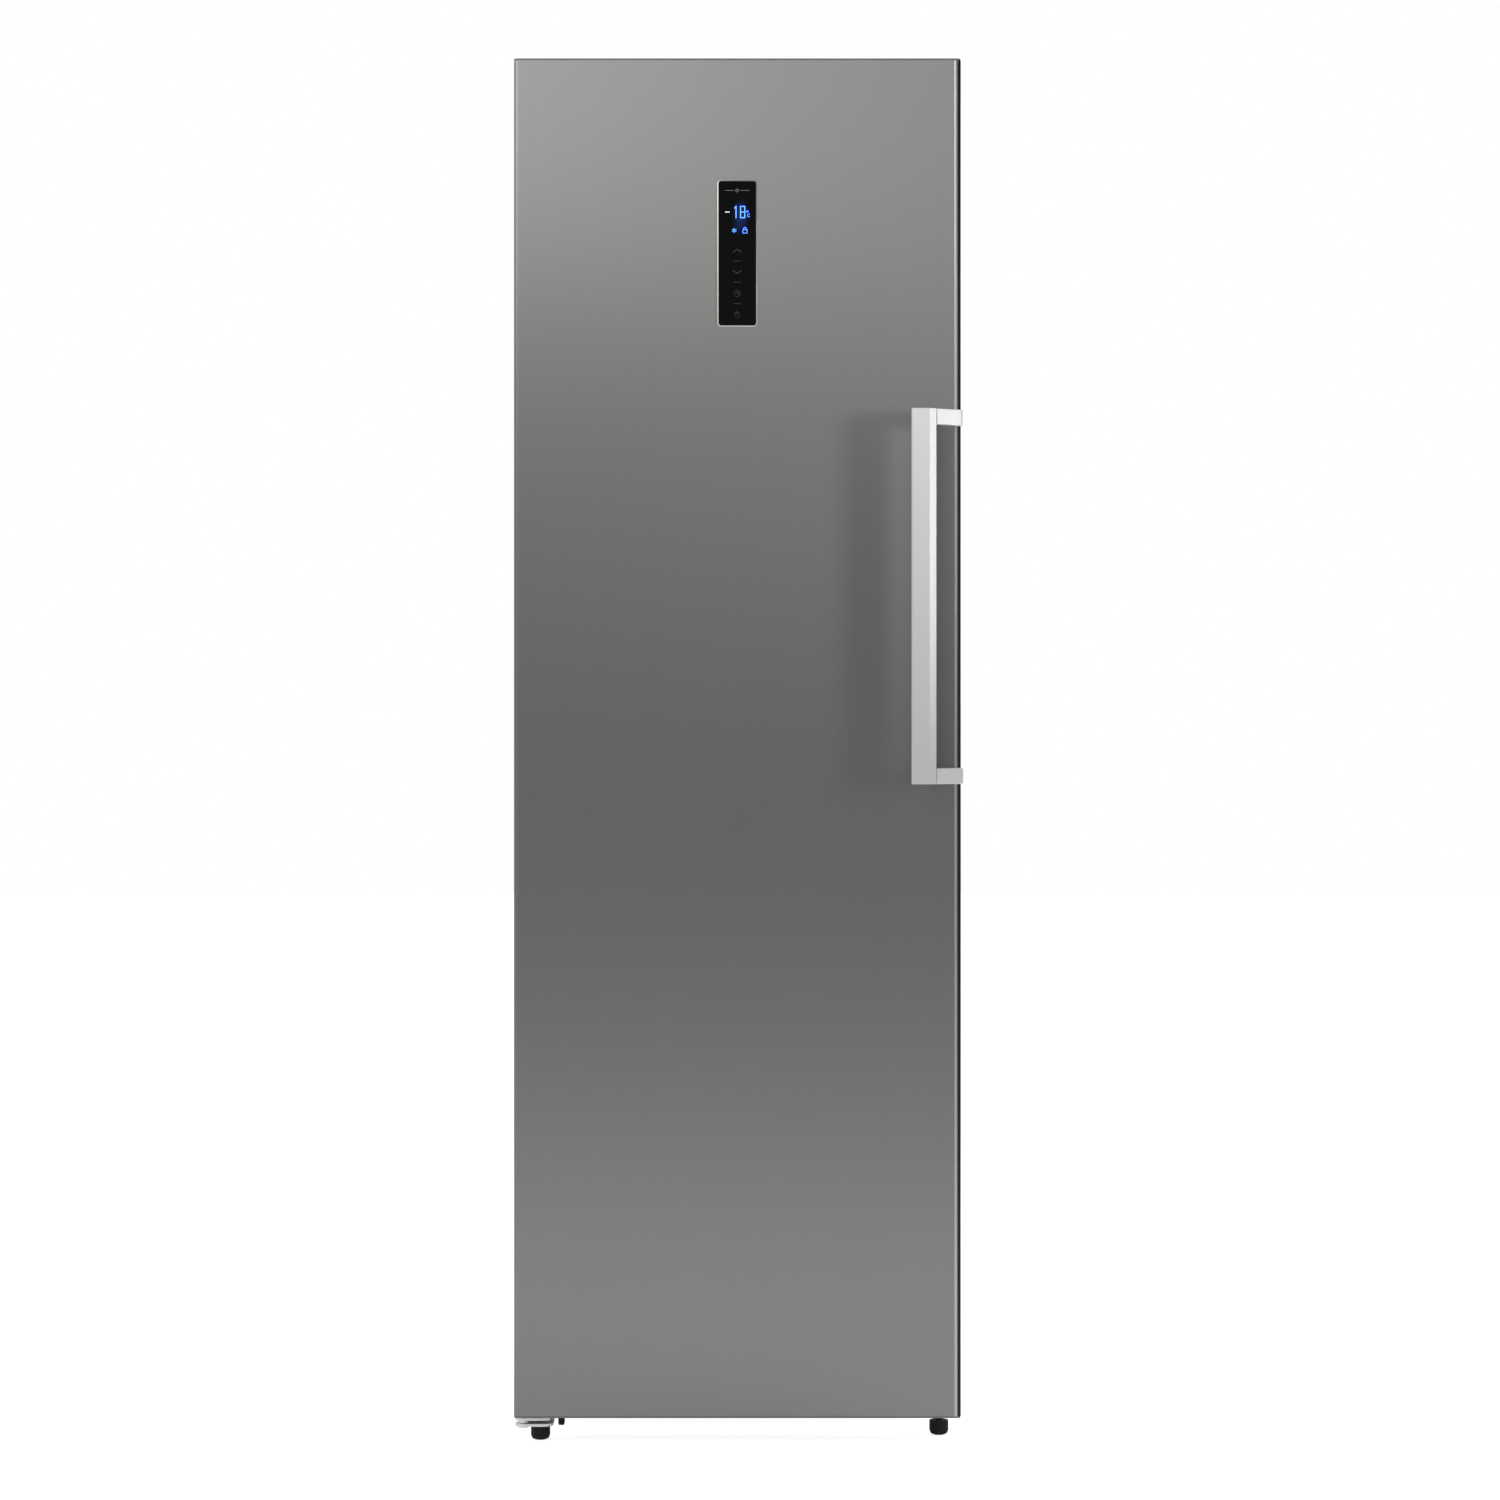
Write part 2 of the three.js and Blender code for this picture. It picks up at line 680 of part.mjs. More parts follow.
function evaporatorCover() {
  const edge = innerHalf;
  const raised = coverFace - coverRaise;
  const path = rounded([
    [-edge, coverFace], [-coverRaiseHalf - 15, coverFace], [-coverRaiseHalf, raised],
    [coverRaiseHalf, raised], [coverRaiseHalf + 15, coverFace], [edge, coverFace],
  ], 8, false, 2);
  const panel = upright(bentSheet(path, coverSheet), [stepTop, cavityRoof]);
  return cut(panel.intersect(cavity(-fit)), ...ventSlots(), ...fanGrille());
}

// plate fins on a serpentine tube, between two end plates that reach the back wall
function evaporator() {
  const bends = evaporatorHalf + coilBend - 3;
  const firstPass = evaporatorBottom + passPitch / 2;
  const corners = [[...suctionPlace, heaterZ], [...suctionPlace, firstPass]];
  for (let pass = 0; pass < passCount; pass += 1) {
    const z = firstPass + pass * passPitch;
    const side = pass % 2 ? 1 : -1;
    if (pass) corners.push([-side * bends, evaporatorY, z]);
    corners.push([pass === passCount - 1 ? suctionX + 10 : side * bends, evaporatorY, z]);
  }
  const coil = tube(corners, evaporatorTube, coilBend, 6, 3);
  const fins = Array.from({ length: finCount }, (_, i) => {
    const x = THREE.MathUtils.lerp(-evaporatorHalf, evaporatorHalf, i / (finCount - 1));
    const end = i === 0 || i === finCount - 1;
    const back = end ? cavityBack - fit : evaporatorY + finHalfDepth;
    const bottom = end ? heaterZ - heaterRadius - 5.5 : evaporatorBottom;
    return block(
      [x - finThick / 2, x + finThick / 2], [evaporatorY - finHalfDepth, back],
      [bottom, evaporatorTop],
    );
  });
  return joined([coil, ...fins]);
}

function defrostHeater() {
  const end = evaporatorHalf - finThick / 2 - fit;
  const [near, far] = [evaporatorY - heaterReach, evaporatorY + heaterReach];
  const turn = end - heaterReach;
  return tube([
    [-end, near, heaterZ], [turn, near, heaterZ], [turn, far, heaterZ], [-end, far, heaterZ],
  ], heaterRadius, heaterReach - 1, 6, 2);
}

const motorFace = evaporatorY + 8;
const shaftTip = evaporatorY - 14;

function fanMotor() {
  const can = turnedFacing([
    [0, shaftTip], [2.5, shaftTip], [2.5, motorFace - 4], [9, motorFace - 4], [9, motorFace],
    [22, motorFace], [25, motorFace + 3], [25, cavityBack - 6], [32, cavityBack - 6],
    [32, cavityBack - fit], [0, cavityBack - fit],
  ], 16, [0, fanZ]);
  const shroud = turnedFacing(ringed([
    [fanRadius + 3, evaporatorY - 20], [fanRadius + 5.5, evaporatorY - 20],
    [fanRadius + 5.5, motorFace + 6], [fanRadius + 3, motorFace + 6],
  ]), 20, [0, fanZ]);
  const arms = [0, 1, 2].map((i) => {
    const angle = Math.PI / 2 + (i * 2 * Math.PI) / 3;
    const across = [Math.cos(angle), Math.sin(angle)];
    const corner = (r, w) => [
      across[0] * r - across[1] * w, fanZ + across[1] * r + across[0] * w,
    ];
    return facing([corner(20, -4), corner(fanRadius + 4, -3), corner(fanRadius + 4, 3), corner(20, 4)],
      [motorFace + 1, motorFace + 5]);
  });
  return joined([can, shroud, ...arms]);
}

// five twisted blades on a hub; each blade is a thin section turned and widened along its length
function fanWheel() {
  const bladeLength = fanRadius - 12;
  const section = [[-11, -0.4], [0, -1], [11, -0.4], [11, 0.4], [0, 1], [-11, 0.4]];
  const blades = Array.from({ length: 5 }, (_, i) => {
    const geometry = new THREE.ExtrudeGeometry(
      new THREE.Shape(section.map(([a, b]) => new THREE.Vector2(a, b))),
      { depth: bladeLength, steps: 3, bevelEnabled: false },
    );
    const place = geometry.attributes.position;
    for (let k = 0; k < place.count; k += 1) {
      const along = place.getZ(k) / bladeLength;
      const pitch = THREE.MathUtils.degToRad(THREE.MathUtils.lerp(48, 24, along));
      const chord = THREE.MathUtils.lerp(0.75, 1.45, along);
      const point = new THREE.Vector2(place.getX(k) * chord, place.getY(k))
        .rotateAround(new THREE.Vector2(), pitch);
      place.setXYZ(k, point.x, point.y, place.getZ(k) + 10);
    }
    return solid(geometry.rotateY((i * 2 * Math.PI) / 5).translate(0, evaporatorY - 4, fanZ));
  });
  const hub = turnedFacing([
    [0, evaporatorY - 18], [11, evaporatorY - 18], [14, evaporatorY - 15], [14, evaporatorY + 3],
    [2.5 + fit, evaporatorY + 3], [2.5 + fit, shaftTip - fit], [0, shaftTip - fit],
  ], 15, [0, fanZ]);
  const bore = turnedFacing([
    [0, shaftTip - fit], [2.5 + fit, shaftTip - fit], [2.5 + fit, depth], [0, depth],
  ], 10, [0, fanZ]);
  return cut(joined([hub, ...blades]), bore);
}

// ---- Compressor compartment ---------------------------------------------------------------

const compressorPlace = [compressorX, bayFront + compressorAside];
const compressorFoot = plateFloor + earThick + fit;
const shellTop = compressorFoot + compressorTall;
const stubZ = compressorFoot + 64;
const stubReach = 7;              // pipe stubs beyond the compressor's shell
const coilRadius = 2.4;
const coilX = -skinInside + coilRadius;
const coilBottom = bayRoof + deckSheet + 12;
const coilTop = 1700;
const coilPitch = 80;
const coilReturnY = bayFront + 62;
const coilFeedY = compressorPlace[1];

// foamed into the left side: a serpentine of six upright runs against the steel
function condenserCoil() {
  const low = coilBottom + 60;
  const corners = [[coilX, coilFeedY, coilBottom], [coilX, coilFeedY, coilTop]];
  for (let run = 1; run <= 5; run += 1) {
    const y = coilFeedY - run * coilPitch;
    const up = run % 2 === 0;
    const end = run === 5 ? coilBottom + 25 : low;
    corners.push([coilX, y, up ? low : coilTop], [coilX, y, up ? coilTop : end]);
  }
  corners.push([coilX, coilReturnY, coilBottom + 25], [coilX, coilReturnY, coilBottom]);
  return tube(corners, coilRadius, 20, 5, 2);
}

const coilHoles = () => [coilFeedY, coilReturnY].map((y) =>
  upright(roundHole(coilRadius + fit, 8, [coilX, y]), [bayRoof - 10, coilBottom + 1]));

function coilPocket() {
  const clear = 5;
  const pocket = block(
    [-half, coilX + coilRadius + fit],
    [coilFeedY - 5 * coilPitch - clear, coilFeedY + clear], [coilBottom - 1, coilTop + clear],
  );
  return joined([pocket, ...coilHoles()]);
}

function compressor() {
  const [x, y] = compressorPlace;
  const base = compressorFoot;
  const shell = lathe([
    [0, 0.09], [0.62, 0.09], [0.85, 0.15], [0.96, 0.28], [0.96, 0.52], [1, 0.535], [1, 0.57],
    [0.96, 0.58], [0.95, 0.74], [0.85, 0.875], [0.6, 0.965], [0, 1],
  ].map(([r, z]) => [r * compressorRadius, base + z * compressorTall]), 18)
    .rotateX(Math.PI / 2).scale(1, compressorOval, 1).translate(x, y, 0);
  const [footX, footY] = [compressorRadius + 11, compressorRadius * compressorOval - 11];
  const foot = upright(
    roundedRectangle([x - footX, x + footX], [y - footY, y + footY], 20, 2),
    [base + 14, base + 18],
  );
  const grommets = [-1, 1].flatMap((a) => [-1, 1].map((b) => turnedUpright([
    [0, base], [13, base], [9, base + 9], [9, base + 22], [0, base + 22],
  ], 8, [x + a * (footX - 17), y + b * (footY - 16)])));
  const suctionStub = sideways(
    circle(suctionRadius, 8, [evaporatorY, stubZ]), [x + 40, x + compressorRadius + stubReach],
  );
  const dischargeStub = sideways(
    circle(coilRadius + 1, 8, [y, stubZ]), [x - compressorRadius - stubReach, x - 60],
  );
  return joined([solid(shell), foot, ...grommets, suctionStub, dischargeStub]);
}

function relayCover() {
  const [x, y] = compressorPlace;
  const face = y + compressorRadius * compressorOval + fit;
  const shape = rounded([
    [face, compressorFoot + 42], [plateBack - earThick - 6, compressorFoot + 46],
    [plateBack - earThick - 6, compressorFoot + 96], [face, compressorFoot + 110],
  ], [0, 5, 8, 0], true, 3);
  return sideways(shape, [x - 32, x + 32]);
}

function suctionPipe() {
  const start = compressorX + compressorRadius + stubReach + fit;
  return tube([
    [start, evaporatorY, stubZ], [suctionPlace[0], evaporatorY, stubZ],
    [...suctionPlace, heaterZ - fit],
  ], suctionRadius, 18, 10);
}

function dischargePipe() {
  const start = compressorX - compressorRadius - stubReach - fit;
  return tube([
    [start, coilFeedY, stubZ], [coilX, coilFeedY, stubZ], [coilX, coilFeedY, coilBottom - fit],
  ], coilRadius, 16, 8);
}

// the drier with its inlet from the coil and the thin capillary that ends on the suction pipe
function filterDrier() {
  const x = coilX + 12;
  const y = coilReturnY;
  const front = bayFront + 22;
  const [top, bottom] = [plateFloor + 182, plateFloor + 96];
  const body = turnedUpright([
    [0, bottom - 12], [1.6, bottom - 12], [3, bottom - 8], [8.5, bottom], [8.5, top],
    [3, top + 9], [0, top + 9],
  ], 12, [x, y]);
  const inlet = tube([
    [coilX, y, coilBottom - fit], [coilX, y, top + 48], [x, y, top + 30], [x, y, top],
  ], coilRadius, 8, 6, 3);
  const capillary = tube([
    [x, y, bottom - 4], [x, y, plateFloor + 50], [x, front, plateFloor + 50],
    [suctionPlace[0], front, plateFloor + 50], [suctionPlace[0], front, plateFloor + 150],
    [suctionPlace[0], evaporatorY - suctionRadius - fit, plateFloor + 150],
  ], 1.4, 14, 5, 2);
  return joined([body, inlet, capillary]);
}

function drainHose() {
  const [x, y] = drainPlace;
  const rim = stepTop + fit;
  return turnedUpright(ringed([
    [6.5, shellTop + 18], [drainRadius, shellTop + 18], [drainRadius, rim],
    [drainRadius + 5, rim], [drainRadius + 5, rim + 2], [6.5, rim + 2],
  ]), 12, [x, y]);
}

// defrost water dries off in this tray on the warm compressor
function evaporationTray() {
  const [x, y] = compressorPlace;
  const base = shellTop + fit;
  const radius = compressorRadius;
  const basin = (inset, z) => solid(flared(
    [x - radius - 14 + inset, x + radius + 38 - inset],
    [y - radius + 16 + inset, y + radius - 4 - inset], z, 18 - inset, 5,
  ));
  return cut(basin(0, [base, base + trayTall]), basin(trayWall, [base + trayWall, base + trayTall + 1]));
}

function electronicsBox() {
  const [front, bottom] = [plateFront + 46, plateFloor + 70];
  const shell = (grow, x) => sideways(roundedRectangle(
    [front - grow, front + boxDepth + grow], [bottom - grow, bottom + boxTall + grow], 6 + grow, 3,
  ), x);
  const face = skinInside - boxThick;
  return joined([shell(0, [face, skinInside]), shell(3, [face - 3, face + 4])]);
}

function cordGland() {
  const face = plateBack;
  return turnedFacing(ringed([
    [4, face - earThick - 5], [12, face - earThick - 5], [12, face - earThick - fit],
    [glandRadius, face - earThick - fit], [glandRadius, face + fit], [13, face + fit],
    [12, face + 3.4], [4, face + 3.4],
  ]), 10, [glandX, plateFloor + 20]);
}

function roller(side) {
  const bore = axleRadius + 0.4;
  const near = side * (half - rollerInset) - rollerWidth / 2;
  const far = near + rollerWidth;
  return turnedAcross(ringed([
    [bore, near], [rollerRadius - 1, near], [rollerRadius, near + 1], [rollerRadius, far - 1],
    [rollerRadius - 1, far], [11, far], [10, far - 2], [bore, far - 2],
  ]), 18, [rollerY, rollerRadius]);
}

// a levelling foot: a black pad with a rounded lower edge on a steel stem
function foot(place, stemTop) {
  return turnedUpright([
    [0, 0], [footRadius - footBevel, 0], [footRadius - 0.3 * footBevel, 0.3 * footBevel],
    [footRadius, footBevel], [footRadius, footTall], [stemRadius, footTall],
    [stemRadius, stemTop], [0, stemTop],
  ], 18, place);
}

// ---- Hinges -------------------------------------------------------------------------------

const bracketLeft = hingeX - 11;
const bracketTop = doorLift - bracketDrop;
const stopThick = 3;
const slotTop = bracketTop - hingePlate;
const lowerPlateBottom = slotTop - bracketSlot - hingePlate;
const upperPlate = doorTop - 4;
const bracketRight = bracketLeft + bracketWidth;
const bracketBack = cabinetFront + bracketReach;
const stopX = bracketRight + 12;

// the plan of both brackets: round about the pin, narrower behind it, and running back
// along the cabinet
const bracketPlan = () => rounded([
  [bracketLeft, bracketFront], [bracketRight, bracketFront], [bracketRight, bracketBack],
  [bracketLeft + bracketNeck, bracketBack], [bracketLeft + bracketNeck, hingeFront + 14],
  [bracketLeft, hingeFront + 6],
], [11, 14, 6, 6, 0, 0], true, 3);

// a bore about the door's axis
const pinBore = (radius, z) => upright(roundHole(radius, 12, [hingeX, hingeFront]), z);

const bracketScrewHoles = (z) => [[14, 34], [37, 34], [26, 62]].map(([x, y]) =>
  upright(roundHole(screwRadius, 8, [bracketLeft + x, cabinetFront + y]), z));

// one strip that rises from the door's level to the cabinet's, then lies along it
function joggledStrip(low, high) {
  const path = rounded([
    [bracketFront, low], [doorThick + 1, low], [cabinetFront - 1.5, high], [bracketBack, high],
  ], 4, false, 2);
  return sideways(bentSheet(path, hingePlate), [bracketLeft, bracketRight]);
}

function upperHingeBracket() {
  const strip = joggledStrip(upperPlate, cabinetTop + fit).intersect(
    upright(bracketPlan(), [upperPlate - 5, cabinetTop + 20]),
  );
  const holes = [upperPlate - 5, cabinetTop + 20];
  return cut(strip, pinBore(pinRadius + fit, holes), ...bracketScrewHoles(holes));
}

function upperHingePin() {
  return turnedUpright([
    [0, doorTop - pinReach], [pinRadius - 1, doorTop - pinReach],
    [pinRadius, doorTop - pinReach + 1],
    [pinRadius, upperPlate + hingePlate], [0, upperPlate + hingePlate],
  ], 12, [hingeX, hingeFront]);
}

// a plastic cap over the bracket's screws, open underneath and towards the door
function hingeCover() {
  const base = cabinetTop + fit;
  const lean = 2;
  const shell = (inset, top) => {
    const x = [bracketLeft + bracketNeck - coverWall - lean + inset, bracketRight + 16 - inset];
    const y = [cabinetFront - 6 + inset, bracketBack + 10 - inset];
    return solid(flared(x, y, [-top, -base], 6 - inset, lean).rotateX(Math.PI)
      .translate(0, y[0] + y[1], 0));
  };
  const mouth = block(
    [bracketLeft + bracketNeck - fit, bracketRight + fit],
    [cabinetFront - 10, cabinetFront], [base - 1, base + hingePlate + 1],
  );
  const top = cabinetTop + hingeCoverRise;
  return cut(shell(0, top), shell(coverWall, top - coverWall), mouth);
}

function lowerHingeBracket() {
  const span = [bracketLeft, bracketRight];
  const webBack = doorThick + 1;
  const web = sideways(rectangle([webBack - hingePlate, webBack], [lowerPlateBottom, bracketTop]), span);
  const plate = sideways(
    rectangle([bracketFront, webBack], [lowerPlateBottom, lowerPlateBottom + hingePlate]), span,
  );
  const strip = joggledStrip(slotTop, cabinetBottom - fit - hingePlate);
  const body = joined([strip, plate, web]).intersect(
    upright(bracketPlan(), [0, cabinetBottom]),
  );
  const holes = [0, cabinetBottom + 5];
  const stem = upright(roundHole(stemRadius + fit, 8, leftFootPlace()), holes);
  return cut(body, pinBore(pinRadius + fit, holes), stem, ...bracketScrewHoles(holes));
}

function lowerHingePin() {
  const nutBottom = lowerPlateBottom - 2.4;
  return turnedUpright([
    [0, nutBottom], [8, nutBottom], [8, lowerPlateBottom - fit], [pinRadius, lowerPlateBottom - fit],
    [pinRadius, lowerPlateBottom + hingePlate + fit], [8, lowerPlateBottom + hingePlate + fit],
    [8, slotTop - fit], [pinRadius, slotTop - fit], [pinRadius, doorLift + 15],
    [pinRadius - 1, doorLift + 16], [0, doorLift + 16],
  ], 12, [hingeX, hingeFront]);
}

// ---- Door ---------------------------------------------------------------------------------

const panelBack = doorThick - innerPanelSheet;      // face of the inner panel's rim
const doorShellBack = panelBack - fit;

const doorPlan = (grow, back) => rounded(
  rectangle([-half - grow, half + grow], [-grow, back]), [cornerRadius + grow, cornerRadius + grow, 0, 0],
);

// the corner of the door that the upper bracket lies in and turns about
function hingeRecess(grow) {
  const plan = rounded(rectangle(
    [-half - 5, bracketRight + recessClear + grow], [bracketFront - 3 - grow, doorThick + 20],
  ), [0, 12, 0, 0]);
  return upright(plan, [doorTop - recessDepth - grow, doorTop + 5]);
}

function doorSkin() {
  const path = rounded([
    [-half + doorHem, doorShellBack], [-half, doorShellBack], [-half, 0],
    [half, 0], [half, doorShellBack], [half - doorHem, doorShellBack],
  ], [0, 1.5, cornerRadius, cornerRadius, 1.5, 0], false);
  const z = [doorLift + capFlange + fit, doorTop - capFlange - fit];
  return cut(upright(bentSheet(path, sheet), z), panelOpening(0, [-1, 10]), hingeRecess(0));
}

const panelMiddle = panelTop - panelHeight / 2;
const panelStep = 2;              // the housing is this much smaller than the frame all round

function panelOpening(grow, y) {
  const [a, b] = [panelWidth / 2 - panelStep + grow, panelHeight / 2 - panelStep + grow];
  return facing(roundedRectangle([-a, a], [panelMiddle - b, panelMiddle + b], 3 + grow, 3), y);
}

// a moulded cap that closes one end of the door's steel skin, with a rim inside the skin, a
// thick corner at the hinge and a socket for the pin; grow makes the foam's clearance
function endCap(edge, direction, grow) {
  const inwards = (near, far) =>
    [edge + direction * near, edge + direction * far].sort((a, b) => a - b);
  const inset = sheet + fit - grow;
  const hollowInset = sheet + fit + capWall + grow;
  const back = doorShellBack;
  const plan = (margin, radius, right = half - margin) => roundedRectangle(
    [-half + margin, right], [margin, back - margin], radius, 2,
  );
  const flange = upright(doorPlan(0, back), inwards(0, capFlange + grow));
  const rim = cut(
    upright(plan(inset, innerCorner + grow), inwards(capFlange / 2, capDepth + grow)),
    upright(plan(hollowInset, 2), inwards(capFlange + grow, capDepth + 5)),
  );
  const corner = upright(
    plan(inset, innerCorner + grow, stopX + 4 + capWall + grow),
    inwards(capFlange / 2, recessDepth + capWall + grow),
  );
  const socket = upright(roundedRectangle(
    [-half + inset, hingeX + 16 + grow], [inset, hingeFront + 18 + grow], innerCorner + grow, 2,
  ), inwards(capFlange / 2, socketDepth + grow));
  return joined([flange, rim, corner, socket]);
}

function topCap() {
  return cut(
    endCap(doorTop, -1, 0), hingeRecess(0), pinBore(pinRadius + fit, [doorTop - pinReach - 2, doorTop + 1]),
  );
}

// the stop and the lower pin's bush, moulded in one; grow makes the pocket in the cap
function stopShape(grow) {
  const plan = roundedRectangle(
    [hingeX - 9 - grow, stopX + 4 + grow], [hingeFront - 10 - grow, hingeFront + 12 + grow],
    5 + grow, 3,
  );
  const arm = upright(plan, [doorLift + fit - 2 * grow, doorLift + fit + stopThick + grow]);
  const bush = pinBore(8.5 + grow, [doorLift + fit, doorLift + 20 + grow]);
  return joined([arm, bush]);
}

function doorStop() {
  const tab = facing(
    rounded(rectangle([stopX - 3, stopX + 3], [doorLift - 12, doorLift + 1]), [2.9, 2.9, 0, 0], true, 3),
    [hingeFront - 5, hingeFront + 7],
  );
  return cut(joined([stopShape(0), tab]), pinBore(pinRadius + fit, [doorLift - 5, doorLift + 16 + fit]));
}

function bottomCap() {
  return cut(endCap(doorLift, 1, 0), stopShape(fit));
}

// the raised part of the inner panel, seen from inside the freezer
function plug(inset, [y0, y1]) {
  const x = [-half + plugInset + inset, half - plugInset - inset];
  const z = [doorLift + plugInset + inset, doorTop - plugInset - inset];
  const lying = flared(x, z, [-y1, -y0], 24, plugSlope);
  return solid(lying.rotateX(Math.PI / 2));
}

function doorInnerPanel() {
  const rim = facing(
    roundedRectangle([-half + 1, half - 1], [doorLift + 1, doorTop - 1], 5, 3),
    [panelBack, doorThick],
  );
  return cut(
    joined([rim, plug(0, [panelBack, plugFace])]),
    plug(innerPanelSheet, [panelBack - 1, plugFace - innerPanelSheet]), hingeRecess(0),
  );
}

function doorFoam() {
  const inset = sheet + fit;
  const z = [doorLift + capFlange + fit, doorTop - capFlange - fit];
  const body = upright(roundedRectangle(
    [-half + inset, half - inset], [inset, doorShellBack - inset], innerCorner, 2,
  ), z);
  const raised = plug(innerPanelSheet + fit, [doorShellBack - inset - 1, plugFace - innerPanelSheet - fit]);
  return cut(
    joined([body, raised]), endCap(doorTop, -1, fit), endCap(doorLift, 1, fit),
    panelOpening(fit, [-1, panelBody + fit]), hingeRecess(fit),
  );
}

function gasket() {
  const ring = (inset, wide, y) => {
    const frame = (more) => facing(roundedRectangle(
      [-half + more, half - more], [doorLift + more, doorTop - more], 8, 2,
    ), y);
    return cut(frame(inset), frame(inset + wide));
  };
  const base = doorThick + fit;
  const back = base + gasketThick;
  return joined([
    ring(gasketInset + 4, gasketWidth - 8, [base, base + 2.5]),
    ring(gasketInset + 7, gasketWidth - 14, [base + 2, back - 2]),
    ring(gasketInset, gasketWidth, [back - 4, back]),
  ]);
}

// ---- Control panel ------------------------------------------------------------------------

function panelFrame() {
  const [a, b] = [panelWidth / 2, panelHeight / 2];
  const outline = (less, radius) => roundedRectangle(
    [-a + less, a - less], [panelMiddle - b + less, panelMiddle + b - less], radius, 3,
  );
  const frame = cut(
    facing(outline(0, 4), [-panelProud - 0.9, -fit]),
    facing(outline(panelRim, 3), [-panelProud - 2, -panelProud + 0.1]),
  );
  const housing = panelOpening(-fit, [-0.5, panelBody]);
  const hollow = panelOpening(-fit - 1.5, [-5, panelBody - 1.5]);
  const posts = [-1, 1].flatMap((i) => [-1, 1].map((j) => turnedFacing([
    [0, 6], [2.5, 6], [2.5, panelBody - 1], [0, panelBody - 1],
  ], 6, [i * (panelWidth / 2 - 11), panelMiddle + j * (panelHeight / 2 - 26)])));
  return joined([cut(joined([frame, housing]), hollow), ...posts]);
}

function panelGlass() {
  const [a, b] = [panelWidth / 2 - panelRim - fit, panelHeight / 2 - panelRim - fit];
  return facing(
    roundedRectangle([-a, a], [panelMiddle - b, panelMiddle + b], 3, 3),
    [-panelProud - 0.9, -panelProud - 0.2],
  );
}

// the printed board with its light block behind the digits and six touch springs
function displayBoard() {
  const [a, b] = [panelWidth / 2 - 7, panelHeight / 2 - 10];
  const board = facing(
    roundedRectangle([-a, a], [panelMiddle - b, panelMiddle + b], 2, 2), [4.1, 5.7],
  );
  const lights = block([5 - a, a - 3], [0.2, 4.5], [panelMiddle + 0.2 * b, panelMiddle + 0.8 * b]);
  const springs = [0, 1, 2, 3].map((i) => turnedFacing(
    [[0, 0.2], [4, 0.2], [4, 4.5], [0, 4.5]], 6, [0, panelMiddle - (i * 0.31 + 0.01) * b],
  ));
  return joined([board, lights, ...springs]);
}

// ---- Handle -------------------------------------------------------------------------------

const barRight = handleLeft + handleWidth;
const barBack = -handleReach + handleThick;

function handleBar() {
  const section = [
    [handleLeft, -handleReach + 2], [handleLeft + 2, -handleReach],
    [barRight - handleBevel, -handleReach], [barRight, -handleReach + 7],
    [barRight, barBack], [handleLeft + 3, barBack], [handleLeft, barBack - 3],
  ];
  return upright(
    rounded(section, [0.4, 0.4, 0.8, 0.8, 1, 1, 1], true, 2), [handleBottom, handleBottom + handleLength],
  );
}

// from behind the bar to the door's edge and round it onto the side
function handleBracket(bottom) {
  const side = half + sideArm;
  const plan = rounded([
    [barRight + fit, -handleReach + 8], [side, -7], [side, sideArmReach], [half - 3, sideArmReach],
    [half - 3, 4], [half - 22, 4], [barRight - 3, barBack + 9], [handleLeft + 7, barBack + 9],
    [handleLeft + 7, barBack + fit], [barRight + fit, barBack + fit],
  ], [1, 9, 2, 0, 0, 0, 6, 3, 0, 0], true, 4);
  const z = [bottom, bottom + bracketTall];
  return cut(upright(plan, z), upright(doorPlan(fit, depth), [0, doorTop]));
}

// ---- Lamp ---------------------------------------------------------------------------------

function ledLamp() {
  const outline = rounded([
    [-75, cavityRoof - fit], [-66, cavityRoof - 9], [66, cavityRoof - 9], [75, cavityRoof - fit],
  ], [0, 5, 5, 0], true, 3);
  return facing(outline, [drawerFace + 6, drawerFace + 36]);
}

// ---- Every piece in its place -------------------------------------------------------------

add('cabinet_wrapper', cabinetWrapper(), 'sidePaint');
add('back_panel', backPanel(), 'sidePaint');
add('base_deck', baseDeck(), 'zinc');
add('compressor_plate', compressorPlate(), 'zinc');
add('insulation_foam', insulationFoam(), 'foam');
add('inner_liner', innerLiner(), 'whitePlastic');
add('drawer_rails_left', drawerRails(-1), 'whitePlastic');
add('drawer_rails_right', drawerRails(1), 'whitePlastic');
add('glass_shelf', glassShelf(), 'clearPlastic');
add('led_lamp', ledLamp(), 'clearPlastic');

add('evaporator_cover', evaporatorCover(), 'whitePlastic');
add('evaporator', evaporator(), 'finAluminium');
add('defrost_heater', defrostHeater(), 'finAluminium');
add('fan_motor', fanMotor(), 'whitePlastic');
add('evaporator_fan', fanWheel(), 'greyPlastic');

add('compressor', compressor(), 'blackPaint');
add('compressor_relay_cover', relayCover(), 'darkPlastic');
add('suction_pipe', suctionPipe(), 'copper');
add('discharge_pipe', dischargePipe(), 'copper');
add('condenser_coil', condenserCoil(), 'copper');
add('filter_drier', filterDrier(), 'copper');
add('drain_hose', drainHose(), 'greyPlastic');
add('evaporation_tray', evaporationTray(), 'darkPlastic');
add('electronics_box', electronicsBox(), 'greyPlastic');
add('cord_gland', cordGland(), 'rubber');

add('roller_left', roller(-1), 'darkPlastic');
add('roller_right', roller(1), 'darkPlastic');
add('foot_left', foot(leftFootPlace(), bracketTop - 0.5), 'rubber');
add('foot_right', foot(rightFootPlace(), cabinetBottom + deckSheet), 'rubber');

